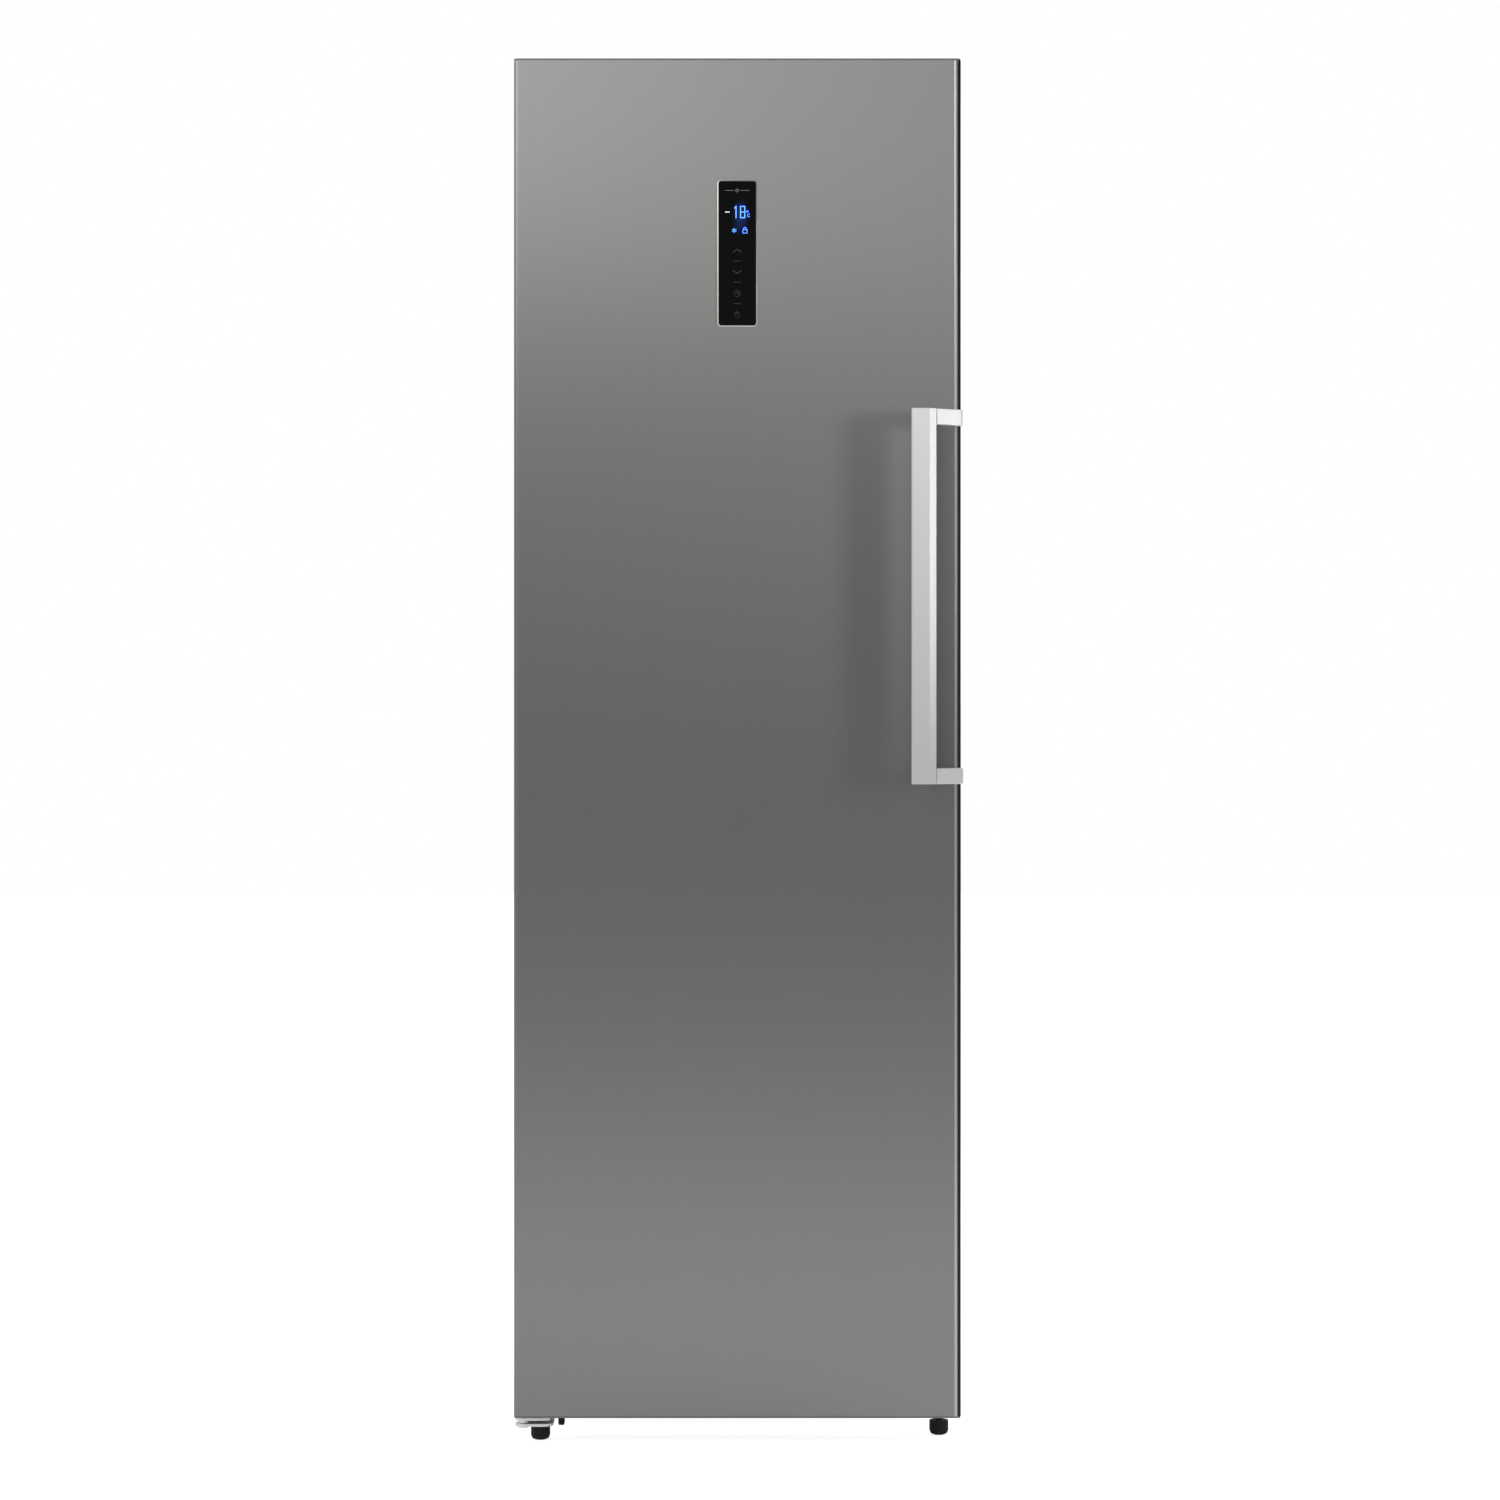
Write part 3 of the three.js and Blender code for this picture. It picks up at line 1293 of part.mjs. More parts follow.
add('upper_hinge_bracket', upperHingeBracket(), 'zinc');
add('upper_hinge_pin', upperHingePin(), 'zinc');
add('hinge_cover', hingeCover(), 'darkPlastic');
add('lower_hinge_bracket', lowerHingeBracket(), 'zinc');
add('lower_hinge_pin', lowerHingePin(), 'zinc');

add('door_skin', doorSkin(), 'brushedSteel');
add('door_foam', doorFoam(), 'foam');
add('door_inner_panel', doorInnerPanel(), 'whitePlastic');
add('door_gasket', gasket(), 'gasketGrey');
add('door_top_cap', topCap(), 'darkPlastic');
add('door_bottom_cap', bottomCap(), 'darkPlastic');
add('door_stop', doorStop(), 'rubber');
add('panel_frame', panelFrame(), 'castAluminium');
add('panel_glass', panelGlass(), 'blackGlass');
add('display_board', displayBoard(), 'board');
add('handle_bar', handleBar(), 'castAluminium');
add('handle_bracket_upper', handleBracket(handleBottom + handleLength - bracketTall), 'castAluminium');
add('handle_bracket_lower', handleBracket(handleBottom), 'castAluminium');

const basketFront = drawerFace + drawerFrontDepth + fit;
const basketBack = coverFace - coverRaise - 10;
const upperBasket = drawerBasket(basketFront, basketBack, drawerPitch - drawerAir - drawerRimThick);
const upperFront = drawerFront(drawerPitch - 9);
const lowerTall = stepTop - cavityFloor - 10;
const lowerBasket = drawerBasket(basketFront, stepFront - 8, lowerTall - 12);
const lowerFront = drawerFront(lowerTall - frontLift);
add('drawer_1_basket', lowerBasket, 'whitePlastic', [0, 0, cavityFloor + fit]);
add('drawer_1_front', lowerFront, 'clearPlastic', [0, 0, cavityFloor + frontLift]);
for (let level = 0; level < upperDrawers; level += 1) {
  const place = [0, 0, drawerFloor(level)];
  add(`drawer_${level + 2}_basket`, upperBasket, 'whitePlastic', place);
  add(`drawer_${level + 2}_front`, upperFront, 'clearPlastic', place);
}

export default freezer;
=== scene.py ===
import json
import math

import bmesh
import bpy
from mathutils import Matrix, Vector
from mathutils.bvhtree import BVHTree

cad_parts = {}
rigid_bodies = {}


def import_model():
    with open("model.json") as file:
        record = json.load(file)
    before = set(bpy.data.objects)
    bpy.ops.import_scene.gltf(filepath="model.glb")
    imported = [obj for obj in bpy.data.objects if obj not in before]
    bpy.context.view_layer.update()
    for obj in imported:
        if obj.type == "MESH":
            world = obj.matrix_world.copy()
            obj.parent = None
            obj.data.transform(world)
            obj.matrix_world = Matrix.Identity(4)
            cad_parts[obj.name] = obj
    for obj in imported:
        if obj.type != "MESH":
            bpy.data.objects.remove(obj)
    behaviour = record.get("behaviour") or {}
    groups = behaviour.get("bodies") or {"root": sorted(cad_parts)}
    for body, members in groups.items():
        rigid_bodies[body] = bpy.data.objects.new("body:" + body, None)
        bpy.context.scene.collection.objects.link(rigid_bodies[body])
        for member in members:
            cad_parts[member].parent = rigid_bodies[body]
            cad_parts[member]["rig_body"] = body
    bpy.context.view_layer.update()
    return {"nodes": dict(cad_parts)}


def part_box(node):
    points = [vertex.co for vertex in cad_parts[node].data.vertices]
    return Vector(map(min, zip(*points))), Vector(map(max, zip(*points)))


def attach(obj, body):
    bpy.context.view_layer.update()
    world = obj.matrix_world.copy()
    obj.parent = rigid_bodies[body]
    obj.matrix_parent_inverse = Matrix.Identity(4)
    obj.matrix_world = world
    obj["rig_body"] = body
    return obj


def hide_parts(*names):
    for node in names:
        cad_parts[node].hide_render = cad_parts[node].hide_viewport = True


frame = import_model()

# ---- Camera ----
# The photograph was taken from about 5.5 m with a long lens held level, a little above the
# middle of the freezer, and framed slightly downwards.

view_distance = 5.5
view_width = 1.9965             # what the frame takes in at the door's face
view_aside, view_height = 0.017, 0.983
frame_shift = -0.0291           # of the frame's width, downwards
sensor = 36.0

camera = bpy.data.objects.new("camera", bpy.data.cameras.new("camera"))
camera.location = (view_aside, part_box("door_skin")[0].y - view_distance, view_height)
camera.rotation_euler = (math.pi / 2, 0, 0)
camera.data.sensor_width = sensor
camera.data.lens = sensor * view_distance / view_width
camera.data.shift_y = frame_shift
bpy.context.scene.collection.objects.link(camera)
bpy.context.scene.camera = camera
bpy.context.scene.view_settings.view_transform = "Standard"


# ---- Studio ----
# A white floor and backdrop, a large lamp at the upper left, a tall narrow one at the right that
# throws the handle's shadow on the door, and one above and one behind. The steel mirrors a dim
# front wall that is brighter at the left and is seen by glossy rays alone.


class Value:
    """One value in a node tree, so that sums on it read as plain arithmetic."""

    def __init__(self, nodes, socket):
        self.nodes = nodes
        self.socket = socket

    def __add__(self, other):
        return self.nodes.maths("ADD", self, other)

    __radd__ = __add__

    def __sub__(self, other):
        return self.nodes.maths("SUBTRACT", self, other)

    def __rsub__(self, other):
        return self.nodes.maths("SUBTRACT", other, self)

    def __mul__(self, other):
        return self.nodes.maths("MULTIPLY", self, other)

    __rmul__ = __mul__


class Nodes:
    """A node tree that is written out step by step."""

    def __init__(self, tree):
        self.tree = tree
        tree.nodes.clear()

    def node(self, kind, values=(), output=0, **settings):
        """Adds a node, its settings first, then its sockets' values or links."""
        made = self.tree.nodes.new(kind)
        for name, setting in settings.items():
            setattr(made, name, setting)
        for key, value in values.items() if isinstance(values, dict) else enumerate(values):
            socket = made.inputs[key]
            if isinstance(value, Value):
                self.tree.links.new(value.socket, socket)
            elif socket.type == "RGBA" and len(value) == 3:
                socket.default_value = (*value, 1)
            else:
                socket.default_value = value
        return Value(self, made.outputs[output]) if len(made.outputs) else None

    def maths(self, operation, *values):
        return self.node("ShaderNodeMath", values, operation=operation)

    def axis(self, vector, name):
        """The X, Y or Z of a vector."""
        return self.node("ShaderNodeSeparateXYZ", [vector], name)

    def ray(self, kind):
        """1 for rays of that kind and 0 for others."""
        return self.node("ShaderNodeLightPath", output=f"Is {kind} Ray")

    def ramp(self, value, stops):
        """A grey that follows stops of place and shade."""
        made = self.node("ShaderNodeValToRGB", [value])
        points = made.socket.node.color_ramp.elements
        for place, _ in stops[2:]:
            points.new(place)
        for point, (place, shade) in zip(points, stops):
            point.position = place
            point.color = (*grey(shade), 1)
        return made

    def step(self, value, low, high):
        """0 below low, 1 above high, with a soft change between them."""
        return self.node("ShaderNodeMapRange", {
            "Value": value, "From Min": low, "From Max": high,
        }, interpolation_type="SMOOTHSTEP")

    def mix(self, share, first, second):
        """From the first colour to the second as share goes from 0 to 1."""
        return self.node("ShaderNodeMix", {0: share, 6: first, 7: second}, 2, data_type="RGBA")


def grey(shade):
    return (shade, shade, shade)


ambient = 0.42                  # what matt faces get from all round
wall_light, left_light = 0.5, 2.2   # of the front wall, and what its left has more
left_grey, flag_grey = 0.4, 0.03
# directions go from -1 to 1; each pair says where a change begins and where it is complete
left_part, left_wall_part = (0.05, 0.4), (0.75, 0.95)
back_part, flag_part = (0.35, 0.75), (0.5, 0.72)

world = bpy.data.worlds.new("studio")
world.use_nodes = True
bpy.context.scene.world = world
sky = Nodes(world.node_tree)
toward = sky.node("ShaderNodeTexCoord", output="Generated")
sideways, backwards, upwards = (sky.axis(toward, name) for name in "XYZ")
front_wall = sky.ramp(upwards * 2.0 + 0.5, [
    (0.0, 0.40), (0.25, 0.26), (0.36, 0.15), (0.45, 0.08), (0.51, 0.07),
    (0.575, 0.45), (0.66, 0.53), (0.78, 0.44), (1.0, 0.42),
])
leftwards = 0 - sideways
lit_wall = sky.node("ShaderNodeVectorMath", {
    "Vector": front_wall, "Scale": wall_light + left_light * sky.step(leftwards, *left_part),
}, operation="SCALE")
left_wall = sky.mix(sky.step(leftwards, *left_wall_part), lit_wall, grey(left_grey))
backdrop = sky.mix(sky.step(backwards, *back_part), left_wall, grey(1))
mirrored = sky.mix(sky.step(sideways, *flag_part), backdrop, grey(flag_grey))
seen = sky.mix(sky.ray("Glossy"), grey(ambient), mirrored)
bare = sky.maths("MAXIMUM", sky.ray("Transmission"), sky.ray("Camera"))
seen = sky.mix(bare, seen, grey(1))
sky.node("ShaderNodeOutputWorld", [sky.node("ShaderNodeBackground", [seen, 1.0])])


class Finish(Nodes):
    """A material. What is the same all over is fixed at the start, what varies comes later."""

    def __init__(self, name, fixed):
        self.material = bpy.data.materials.new(name)
        self.material.use_nodes = True
        super().__init__(self.material.node_tree)
        self.surface = self.node("ShaderNodeBsdfPrincipled", fixed)
        self.inputs = self.surface.socket.node.inputs
        self.node("ShaderNodeOutputMaterial", [self.surface])
        self.place = self.node("ShaderNodeTexCoord", output="Object")

    def vary(self, **links):
        """Links what varies over the surface: colour, roughness, alpha, bump and so on."""
        names = {"colour": "Base Color", "roughness": "Roughness", "alpha": "Alpha",
                 "glow": "Emission Color", "normal": "Normal"}
        for name, value in links.items():
            self.tree.links.new(value.socket, self.inputs[names[name]])

    def grain(self, size, detail=2.0):
        """Noise from 0 to 1, with grains of that size in metres, or one size for each axis."""
        sizes = size if isinstance(size, tuple) else (size,) * 3
        scaled = self.node("ShaderNodeMapping", {
            "Vector": self.place, "Scale": tuple(1 / s for s in sizes),
        })
        return self.node(
            "ShaderNodeTexNoise", {"Vector": scaled, "Scale": 1.0, "Detail": detail},
        )

    def bump(self, height, depth, strength=0.5):
        """Surface relief of that depth in metres."""
        return self.node("ShaderNodeBump", {
            "Strength": strength, "Distance": depth, "Height": height,
        })


half_floor, floor_drop = 16.0, 0.0004
floor_mesh = bpy.data.meshes.new("studio_floor")
floor_corners = ((-1, -1), (1, -1), (1, 1), (-1, 1))
floor_mesh.from_pydata(
    [(x * half_floor, y * half_floor, -floor_drop) for x, y in floor_corners], [], [(0, 1, 2, 3)],
)
floor = bpy.data.objects.new("studio_floor", floor_mesh)
bpy.context.scene.collection.objects.link(floor)

# the floor glows for the camera, and for glossy rays it goes from pale near to dim far away
pale_reach, sheen_reach = (2.0, 15.0), (1.0, 16.0)
paper = Finish("studio paper", {"Roughness": 0.9, "Specular IOR Level": 0.0})
pale = paper.mix(paper.grain(0.4), grey(0.86), grey(0.88))
away = 0 - paper.axis(paper.place, "Y")
mirrored_floor = paper.mix(paper.step(away, *pale_reach), grey(0.95), grey(0.3))
paper.vary(colour=paper.mix(paper.ray("Glossy"), pale, mirrored_floor))
sheen = paper.mix(paper.step(away, *sheen_reach), grey(0.31), grey(0.13))
glow = paper.mix(paper.ray("Glossy"), grey(0), sheen)
glow = paper.mix(paper.ray("Camera"), glow, grey(0.8))
glow = paper.node("ShaderNodeEmission", [glow, 1.0])
glow = paper.node("ShaderNodeAddShader", [paper.surface, glow])
paper.node("ShaderNodeOutputMaterial", [glow], is_active_output=True)
floor_mesh.materials.append(paper.material)


def softbox(name, place, aim, size, power):
    """A flat lamp that looks at a point."""
    lamp = bpy.data.objects.new(name, bpy.data.lights.new(name, "AREA"))
    lamp.data.shape = "RECTANGLE"
    lamp.data.size, lamp.data.size_y = size
    lamp.data.energy = power
    lamp.location = place
    lamp.rotation_euler = (Vector(aim) - Vector(place)).to_track_quat("-Z", "Y").to_euler()
    bpy.context.scene.collection.objects.link(lamp)


softbox("upper_left_lamp", (-1.9, -3.2, 2.5), (-0.1, -0.3, 1.2), (1.1, 1.2), 32)
softbox("right_lamp", (2.9, -1.62, 1.5), (0.25, -0.3, 1.4), (0.5, 0.95), 14)
softbox("top_lamp", (0.2, 0.6, 3.4), (0, 0.1, 1.2), (1.6, 1.6), 30)
softbox("back_lamp", (1.6, 2.6, 1.6), (0, 0.3, 0.9), (1.4, 1.4), 30)


# ---- Door skin ----
# One sheet of stainless steel, brushed upright, folded round the door's long edges and
# clipped into the end caps. Its front stays bare above the control panel.

sharp_turn, flat_turn = 36, 0.3  # degrees: edges beyond the first stay sharp, below the second go
same_point = 3e-6


def settle(piece):
    """Turns a piece's modifiers into plain mesh."""
    graph = bpy.context.evaluated_depsgraph_get()
    mesh = bpy.data.meshes.new_from_object(
        piece.evaluated_get(graph), preserve_all_data_layers=True, depsgraph=graph,
    )
    piece.modifiers.clear()
    piece.data = mesh


def link(name, mesh, finish):
    """An object for a mesh, in its finish."""
    piece = bpy.data.objects.new(name, mesh)
    bpy.context.scene.collection.objects.link(piece)
    if finish:
        mesh.materials.clear()
        mesh.materials.append(finish.material)
    return piece


def shaded(shape, sharp):
    """Smooth faces, with every edge sharp that turns by more than that many degrees."""
    for face in shape.faces:
        face.smooth = True
    for edge in shape.edges:
        if len(edge.link_faces) == 2 and edge.calc_face_angle(0) > math.radians(sharp):
            edge.smooth = False


def refined(node, finish, edge=0.0, sharp=sharp_turn):
    """A CAD piece with its round faces smooth and its edges eased, in its finish."""
    source = frame["nodes"][node]
    mesh = bpy.data.meshes.new(node + "_finished")
    mesh.from_pydata(
        [v.co for v in source.data.vertices], [],
        [tuple(p.vertices) for p in source.data.polygons],
    )
    shape = bmesh.new()
    shape.from_mesh(mesh)
    bmesh.ops.remove_doubles(shape, verts=shape.verts, dist=same_point)
    bmesh.ops.dissolve_limit(
        shape, angle_limit=math.radians(flat_turn), verts=shape.verts, edges=shape.edges,
    )
    shaded(shape, sharp)
    shape.to_mesh(mesh)
    shape.free()
    piece = link(node + "_finished", mesh, finish)
    if edge:
        eased = piece.modifiers.new("eased edges", "BEVEL")
        eased.width = edge
        eased.segments = 2
        eased.limit_method = "ANGLE"
        eased.angle_limit = math.radians(sharp)
    weighted = piece.modifiers.new("flat faces stay flat", "WEIGHTED_NORMAL")
    weighted.weight = 90
    weighted.keep_sharp = True
    settle(piece)
    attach(piece, source["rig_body"])
    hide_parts(node)
    return piece


steel = Finish("upright brushed steel", {"Metallic": 0.85, "IOR": 1.5, "Anisotropic": 0.95})
strokes = steel.grain((0.0007, 0.0007, 0.09), 3.0)
bands = steel.grain((0.006, 0.006, 0.5))
weave = steel.grain((0.012, 0.012, 0.0022))
brushing = strokes * 0.55 + bands * 0.3 + weave * 0.15
steel.vary(
    colour=steel.mix(brushing, (0.268, 0.264, 0.258), (0.294, 0.290, 0.283)),
    roughness=0.38 + brushing * 0.04,
    normal=steel.bump(strokes, 0.00003, 0.25),
)
refined("door_skin", steel)


# ---- Edge strips: painted shade and painted highlight ----
# A thin black strip laid over the fold at the handle side is painted shade: a dark piece where the
# steel's fold would mirror dark surroundings. Beside it a bright steel lip is a painted highlight
# of the fold.
# The two handle brackets go round both, so they are cut there into three lengths.


def new_piece(name, shape, finish, body, sharp=sharp_turn):
    """Makes a finished shape a piece that rides on a body."""
    bmesh.ops.remove_doubles(shape, verts=shape.verts, dist=1e-7)
    bmesh.ops.recalc_face_normals(shape, faces=shape.faces)
    shaded(shape, sharp)
    mesh = bpy.data.meshes.new(name)
    shape.to_mesh(mesh)
    shape.free()
    piece = link(name, mesh, finish)
    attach(piece, body)
    return piece


def run(shape, rings, ends=True):
    """Skins a row of rings of points, each with the same number of corners."""
    rows = [[shape.verts.new(point) for point in ring] for ring in rings]
    for lower, upper in zip(rows, rows[1:]):
        for i in range(len(lower)):
            shape.faces.new((lower[i - 1], lower[i], upper[i], upper[i - 1]))
    if ends:
        shape.faces.new(rows[0][::-1])
        shape.faces.new(rows[-1])


def grained(name, fixed, size, colours, rough=None, relief=None, detail=2.0, cloud=None):
    """A finish with one grain. Its colour goes from one colour to another with the grain, or with
    a coarser cloud. Rough is its least roughness and the rise, relief its depth and strength."""
    finish = Finish(name, fixed)
    grain = finish.grain(size, detail)
    finish.vary(colour=finish.mix(finish.grain(cloud) if cloud else grain, *colours))
    if rough:
        finish.vary(roughness=rough[0] + grain * rough[1])
    if relief:
        finish.vary(normal=finish.bump(grain, *relief))
    return finish


# painted shade: a near-black strip over the fold, where the steel would mirror dark surroundings
fold_shade_black = grained(
    "black moulding", {"IOR": 1.46, "Specular IOR Level": 0.2}, (0.002, 0.002, 0.02),
    [(0.006, 0.006, 0.0065), (0.012, 0.012, 0.0125)], (0.32, 0.15), (0.00003, 0.3), 3.0,
)
# painted highlight: the lip's steel is about twice as bright as the door's, standing in for the
# fold's highlight
lip_painted_highlight = grained(
    "bright lip steel", {"Metallic": 0.85, "IOR": 1.5, "Anisotropic": 0.9}, (0.0004, 0.0004, 0.03),
    [(0.5, 0.495, 0.485), (0.6, 0.595, 0.585)], (0.36, 0.06),
)
skin_low, skin_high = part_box("door_skin")
fold_radius = 0.006
dark_strip_thick, dark_strip_air, dark_strip_back = 0.00045, 0.00005, 0.002
fold = (skin_high.x - fold_radius, skin_low.y + fold_radius)
end_air, bracket_air = 0.0002, 0.0004
stretches = [skin_low.z + end_air]
for bracket in ("handle_bracket_lower", "handle_bracket_upper"):
    low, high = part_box(bracket)
    stretches += [low.z - bracket_air, high.z + bracket_air]
stretches.append(skin_high.z - end_air)


def round_fold(radius):
    """Points round the fold and back along the door's side."""
    turns = [math.radians(t) for t in (21, 38, 55, 72, 90)]
    line = [(fold[0] + radius * math.sin(t), fold[1] - radius * math.cos(t)) for t in turns]
    return line + [(fold[0] + radius, skin_high.y - dark_strip_back)]


def edge_strip(section):
    """A strip along the door's edge, in lengths between the brackets."""
    strip = bmesh.new()
    for low, high in zip(stretches[::2], stretches[1::2]):
        run(strip, [[(x, y, z) for x, y in section] for z in (low, high)])
    return strip


# the dark strip of painted shade, round the fold and back along the door's side
dark_fold_strip = edge_strip(
    round_fold(fold_radius + dark_strip_thick) + round_fold(fold_radius + dark_strip_air)[::-1],
)
new_piece("door_edge_painted_shade_strip", dark_fold_strip, fold_shade_black, "door")

# a low bead along the fold that carries the painted highlight
lip_section = ((-0.0022, -0.00003), (-0.0014, -0.0004), (-0.0006, -0.0004), (0.0006, -0.00005))
lip = edge_strip([(fold[0] + x, skin_low.y + y) for x, y in lip_section])
new_piece("door_edge_highlight_lip", lip, lip_painted_highlight, "door", 70)


# ---- Door end caps ----
# Injection-moulded grey plastic. Only a 2 mm edge of each shows above and below the steel.

cap_plastic = grained(
    "grey cap plastic", {"IOR": 1.46}, 0.0005, [(0.2, 0.2, 0.197), (0.235, 0.235, 0.23)],
    (0.42, 0.16), (0.00008, 0.4), 3.0, cloud=0.03,
)
refined("door_top_cap", cap_plastic, 0.0003)
refined("door_bottom_cap", cap_plastic, 0.0003)


# ---- Control panel ----
# Black glass in a thin light rim, let into the door. Below a printed emblem glow a minus, two
# digits, a degree sign and two more signs. Four touch fields with dashes between are printed
# in grey further down.

rim_metal = grained(
    "panel rim metal", {"Metallic": 0.85, "IOR": 1.5}, (0.0004, 0.0004, 0.02),
    [grey(0.6), grey(0.72)], (0.26, 0.1),
)
panel_black = grained(
    "black panel glass", {"IOR": 1.5, "Specular IOR Level": 0.22}, 0.02,
    [(0.0015, 0.0016, 0.002), (0.003, 0.0032, 0.004)], (0.05, 0.06), detail=3.0,
)
refined("panel_glass", panel_black, 0.00015)
refined("panel_frame", panel_black, 0.0002)

frame_low, frame_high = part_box("panel_frame")
rim_wide, rim_proud, rim_air = 0.0017, 0.0009, 0.00005
rim_corner = 0.003
door_face = skin_low.y


def loop(low, high, radius, grow, steps=5):
    """Points round an upright rectangle with round corners, grown outwards."""
    left, right = low[0] + radius, high[0] - radius
    bottom, top = low[1] + radius, high[1] - radius
    points = []
    corners = ((right, top), (left, top), (left, bottom), (right, bottom))
    for quarter, (x, z) in enumerate(corners):
        for i in range(steps + 1):
            turn = math.radians(90 * quarter + 90 * i / steps)
            points.append((
                x + (radius + grow) * math.cos(turn), z + (radius + grow) * math.sin(turn),
            ))
    return points


def ring_of(shape, profile, low, high, radius):
    """Carries a closed profile of outward and depth steps round an upright rectangle."""
    rings = [[(x, y, z) for x, z in loop(low, high, radius, grow)] for grow, y in profile]
    run(shape, rings + rings[:1], ends=False)


rim = bmesh.new()
ring_of(rim, [
    (rim_air, door_face - rim_air), (rim_air, door_face - rim_proud),
    (rim_wide * 0.45, door_face - rim_proud), (rim_wide * 0.8, door_face - rim_proud * 0.7),
    (rim_wide, door_face - rim_air),
], (frame_low.x, frame_low.z), (frame_high.x, frame_high.z), rim_corner)
new_piece("panel_rim", rim, rim_metal, "door", 60)

glass_low, glass_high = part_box("panel_glass")
glass_face = glass_low.y
panel_x = (glass_low.x + glass_high.x) / 2
panel_z = glass_high.z
print_thick = 0.00006


def prism(shape, outline, near, far):
    """A flat figure in X and Z, made as thick as near to far in Y."""
    front, back = ([shape.verts.new((x, y, z)) for x, z in outline] for y in (near, far))
    shape.faces.new(front)
    shape.faces.new(back[::-1])
    for i, corner in enumerate(front):
        shape.faces.new((corner, back[i], back[i - 1], front[i - 1]))


def stroke(start, end, width):
    """The four corners of a straight stroke between two points."""
    along = (Vector(end) - Vector(start)).normalized() * width / 2
    across = Vector((-along.y, along.x))
    return [Vector(start) - along - across, Vector(end) + along - across,
            Vector(end) + along + across, Vector(start) - along + across]


def arc(middle, radius, start, end, steps=12):
    """Points on an arc, angles in degrees."""
    turns = [math.radians(start + (end - start) * i / steps) for i in range(steps + 1)]
    return [Vector(middle) + radius * Vector((math.cos(t), math.sin(t))) for t in turns]


def star(x, z, reach):
    """Three strokes through a point."""
    turns = (math.pi / 6, math.pi / 2, 5 * math.pi / 6)
    return [[(x + reach * math.cos(t), z + reach * math.sin(t)),
             (x - reach * math.cos(t), z - reach * math.sin(t))] for t in turns]


def signs(name, finish, lines, width):
    """Figures of plain strokes on the panel, in millimetres from the middle of its top edge."""
    shape = bmesh.new()
    for points in lines:
        for a, b in zip(points, points[1:]):
            corners = [(panel_x + p.x / 1000, panel_z + p.y / 1000)
                       for p in stroke(a, b, width)]
            prism(shape, corners, glass_face - print_thick, glass_face + print_thick)
    bmesh.ops.recalc_face_normals(shape, faces=shape.faces)
    mesh = bpy.data.meshes.new(name)
    shape.to_mesh(mesh)
    shape.free()
    piece = link(name, mesh, finish)
    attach(piece, "door")


def glowing(name, colour, strength):
    """A light sign: its colour wavers a little over its width, as behind a diffuser."""
    sign = Finish(name, {"Roughness": 0.5, "Emission Strength": strength})
    light = sign.mix(sign.grain(0.002), tuple(c * 0.75 for c in colour), colour)
    sign.vary(glow=light, colour=light)
    return sign


blue_light = glowing("blue light", (0.10, 0.28, 1.0), 2.2)
pale_light = glowing("pale light", (0.75, 0.8, 1.0), 0.9)
grey_print = grained(
    "grey print", {"Roughness": 0.6}, 0.0004, [(0.05, 0.052, 0.056), (0.085, 0.088, 0.092)],
)
pale_print = grained(
    "pale print", {"Roughness": 0.6}, 0.0004, [(0.2, 0.2, 0.205), (0.27, 0.27, 0.275)],
)

digit_z, digit_half = -40.0, 7.5
one = [(-1.6, digit_z - digit_half), (-1.6, digit_z + digit_half), (-3.4, digit_z + 5.2)]
left, right = 4.4, 10.0
eight = [
    (left, digit_z + digit_half), (right, digit_z + digit_half), (right, digit_z - digit_half),
    (left, digit_z - digit_half), (left, digit_z + digit_half),
]
eight_bar = [(left, digit_z), (right, digit_z)]
lock = [
    [(7.5, -63.5), (13.1, -63.5), (13.1, -68.0), (7.5, -68.0), (7.5, -63.5)],
    [(8.6, -63.5), *arc((10.3, -62.4), 1.8, 180, 0, 8), (12.0, -63.5)],
]
signs("panel_digits", blue_light, [one, eight_bar, eight], 1.25)
signs("panel_signs", blue_light, star(-4, -64.5, 3.1) + lock, 0.7)
signs("panel_minus", pale_light, [[(-15.6, digit_z), (-10.6, digit_z)]], 1.2)
signs("panel_degree", blue_light, [arc((13.6, digit_z + 0.6), 1.1, 0, 360, 12),
                                   arc((15.4, digit_z - 4.6), 1.8, 50, 310, 8)], 0.6)

halo_blue = Finish("blue halo", {
    "Roughness": 0.07, "Specular IOR Level": 0.22, "Emission Strength": 1.0,
})
halo_x, halo_z = panel_x + 0.0045, panel_z - 0.0455
halo_wide, halo_tall = 0.013, 0.027
from_middle = halo_blue.node("ShaderNodeMapping", {
    "Vector": halo_blue.place, "Location": (-halo_x / halo_wide, 0, -halo_z / halo_tall),
    "Scale": (1 / halo_wide, 0, 1 / halo_tall),
})
falloff = halo_blue.node("ShaderNodeVectorMath", [from_middle], "Value", operation="LENGTH")
halo = 1 - halo_blue.step(falloff, 0.1, 1.0)
halo_blue.vary(
    glow=halo_blue.mix(halo, grey(0), (0.006, 0.02, 0.085)),
    colour=halo_blue.mix(halo, (0.002, 0.0022, 0.003), (0.002, 0.0028, 0.005)),
)
left, right = panel_x - 0.0115, panel_x + 0.0205
bottom, top = panel_z - 0.076, panel_z - 0.02
halo_window = bmesh.new()
prism(halo_window, [(left, bottom), (right, bottom), (right, top), (left, top)],
      glass_face - print_thick / 3, glass_face + print_thick)
new_piece("panel_halo", halo_window, halo_blue, "door")

emblem_z = -11.2
emblem = [[(-16, emblem_z), (-4.5, emblem_z)], [(4.5, emblem_z), (16, emblem_z)]]
signs("panel_emblem", pale_print, emblem + star(0, emblem_z, 2.6), 0.7)

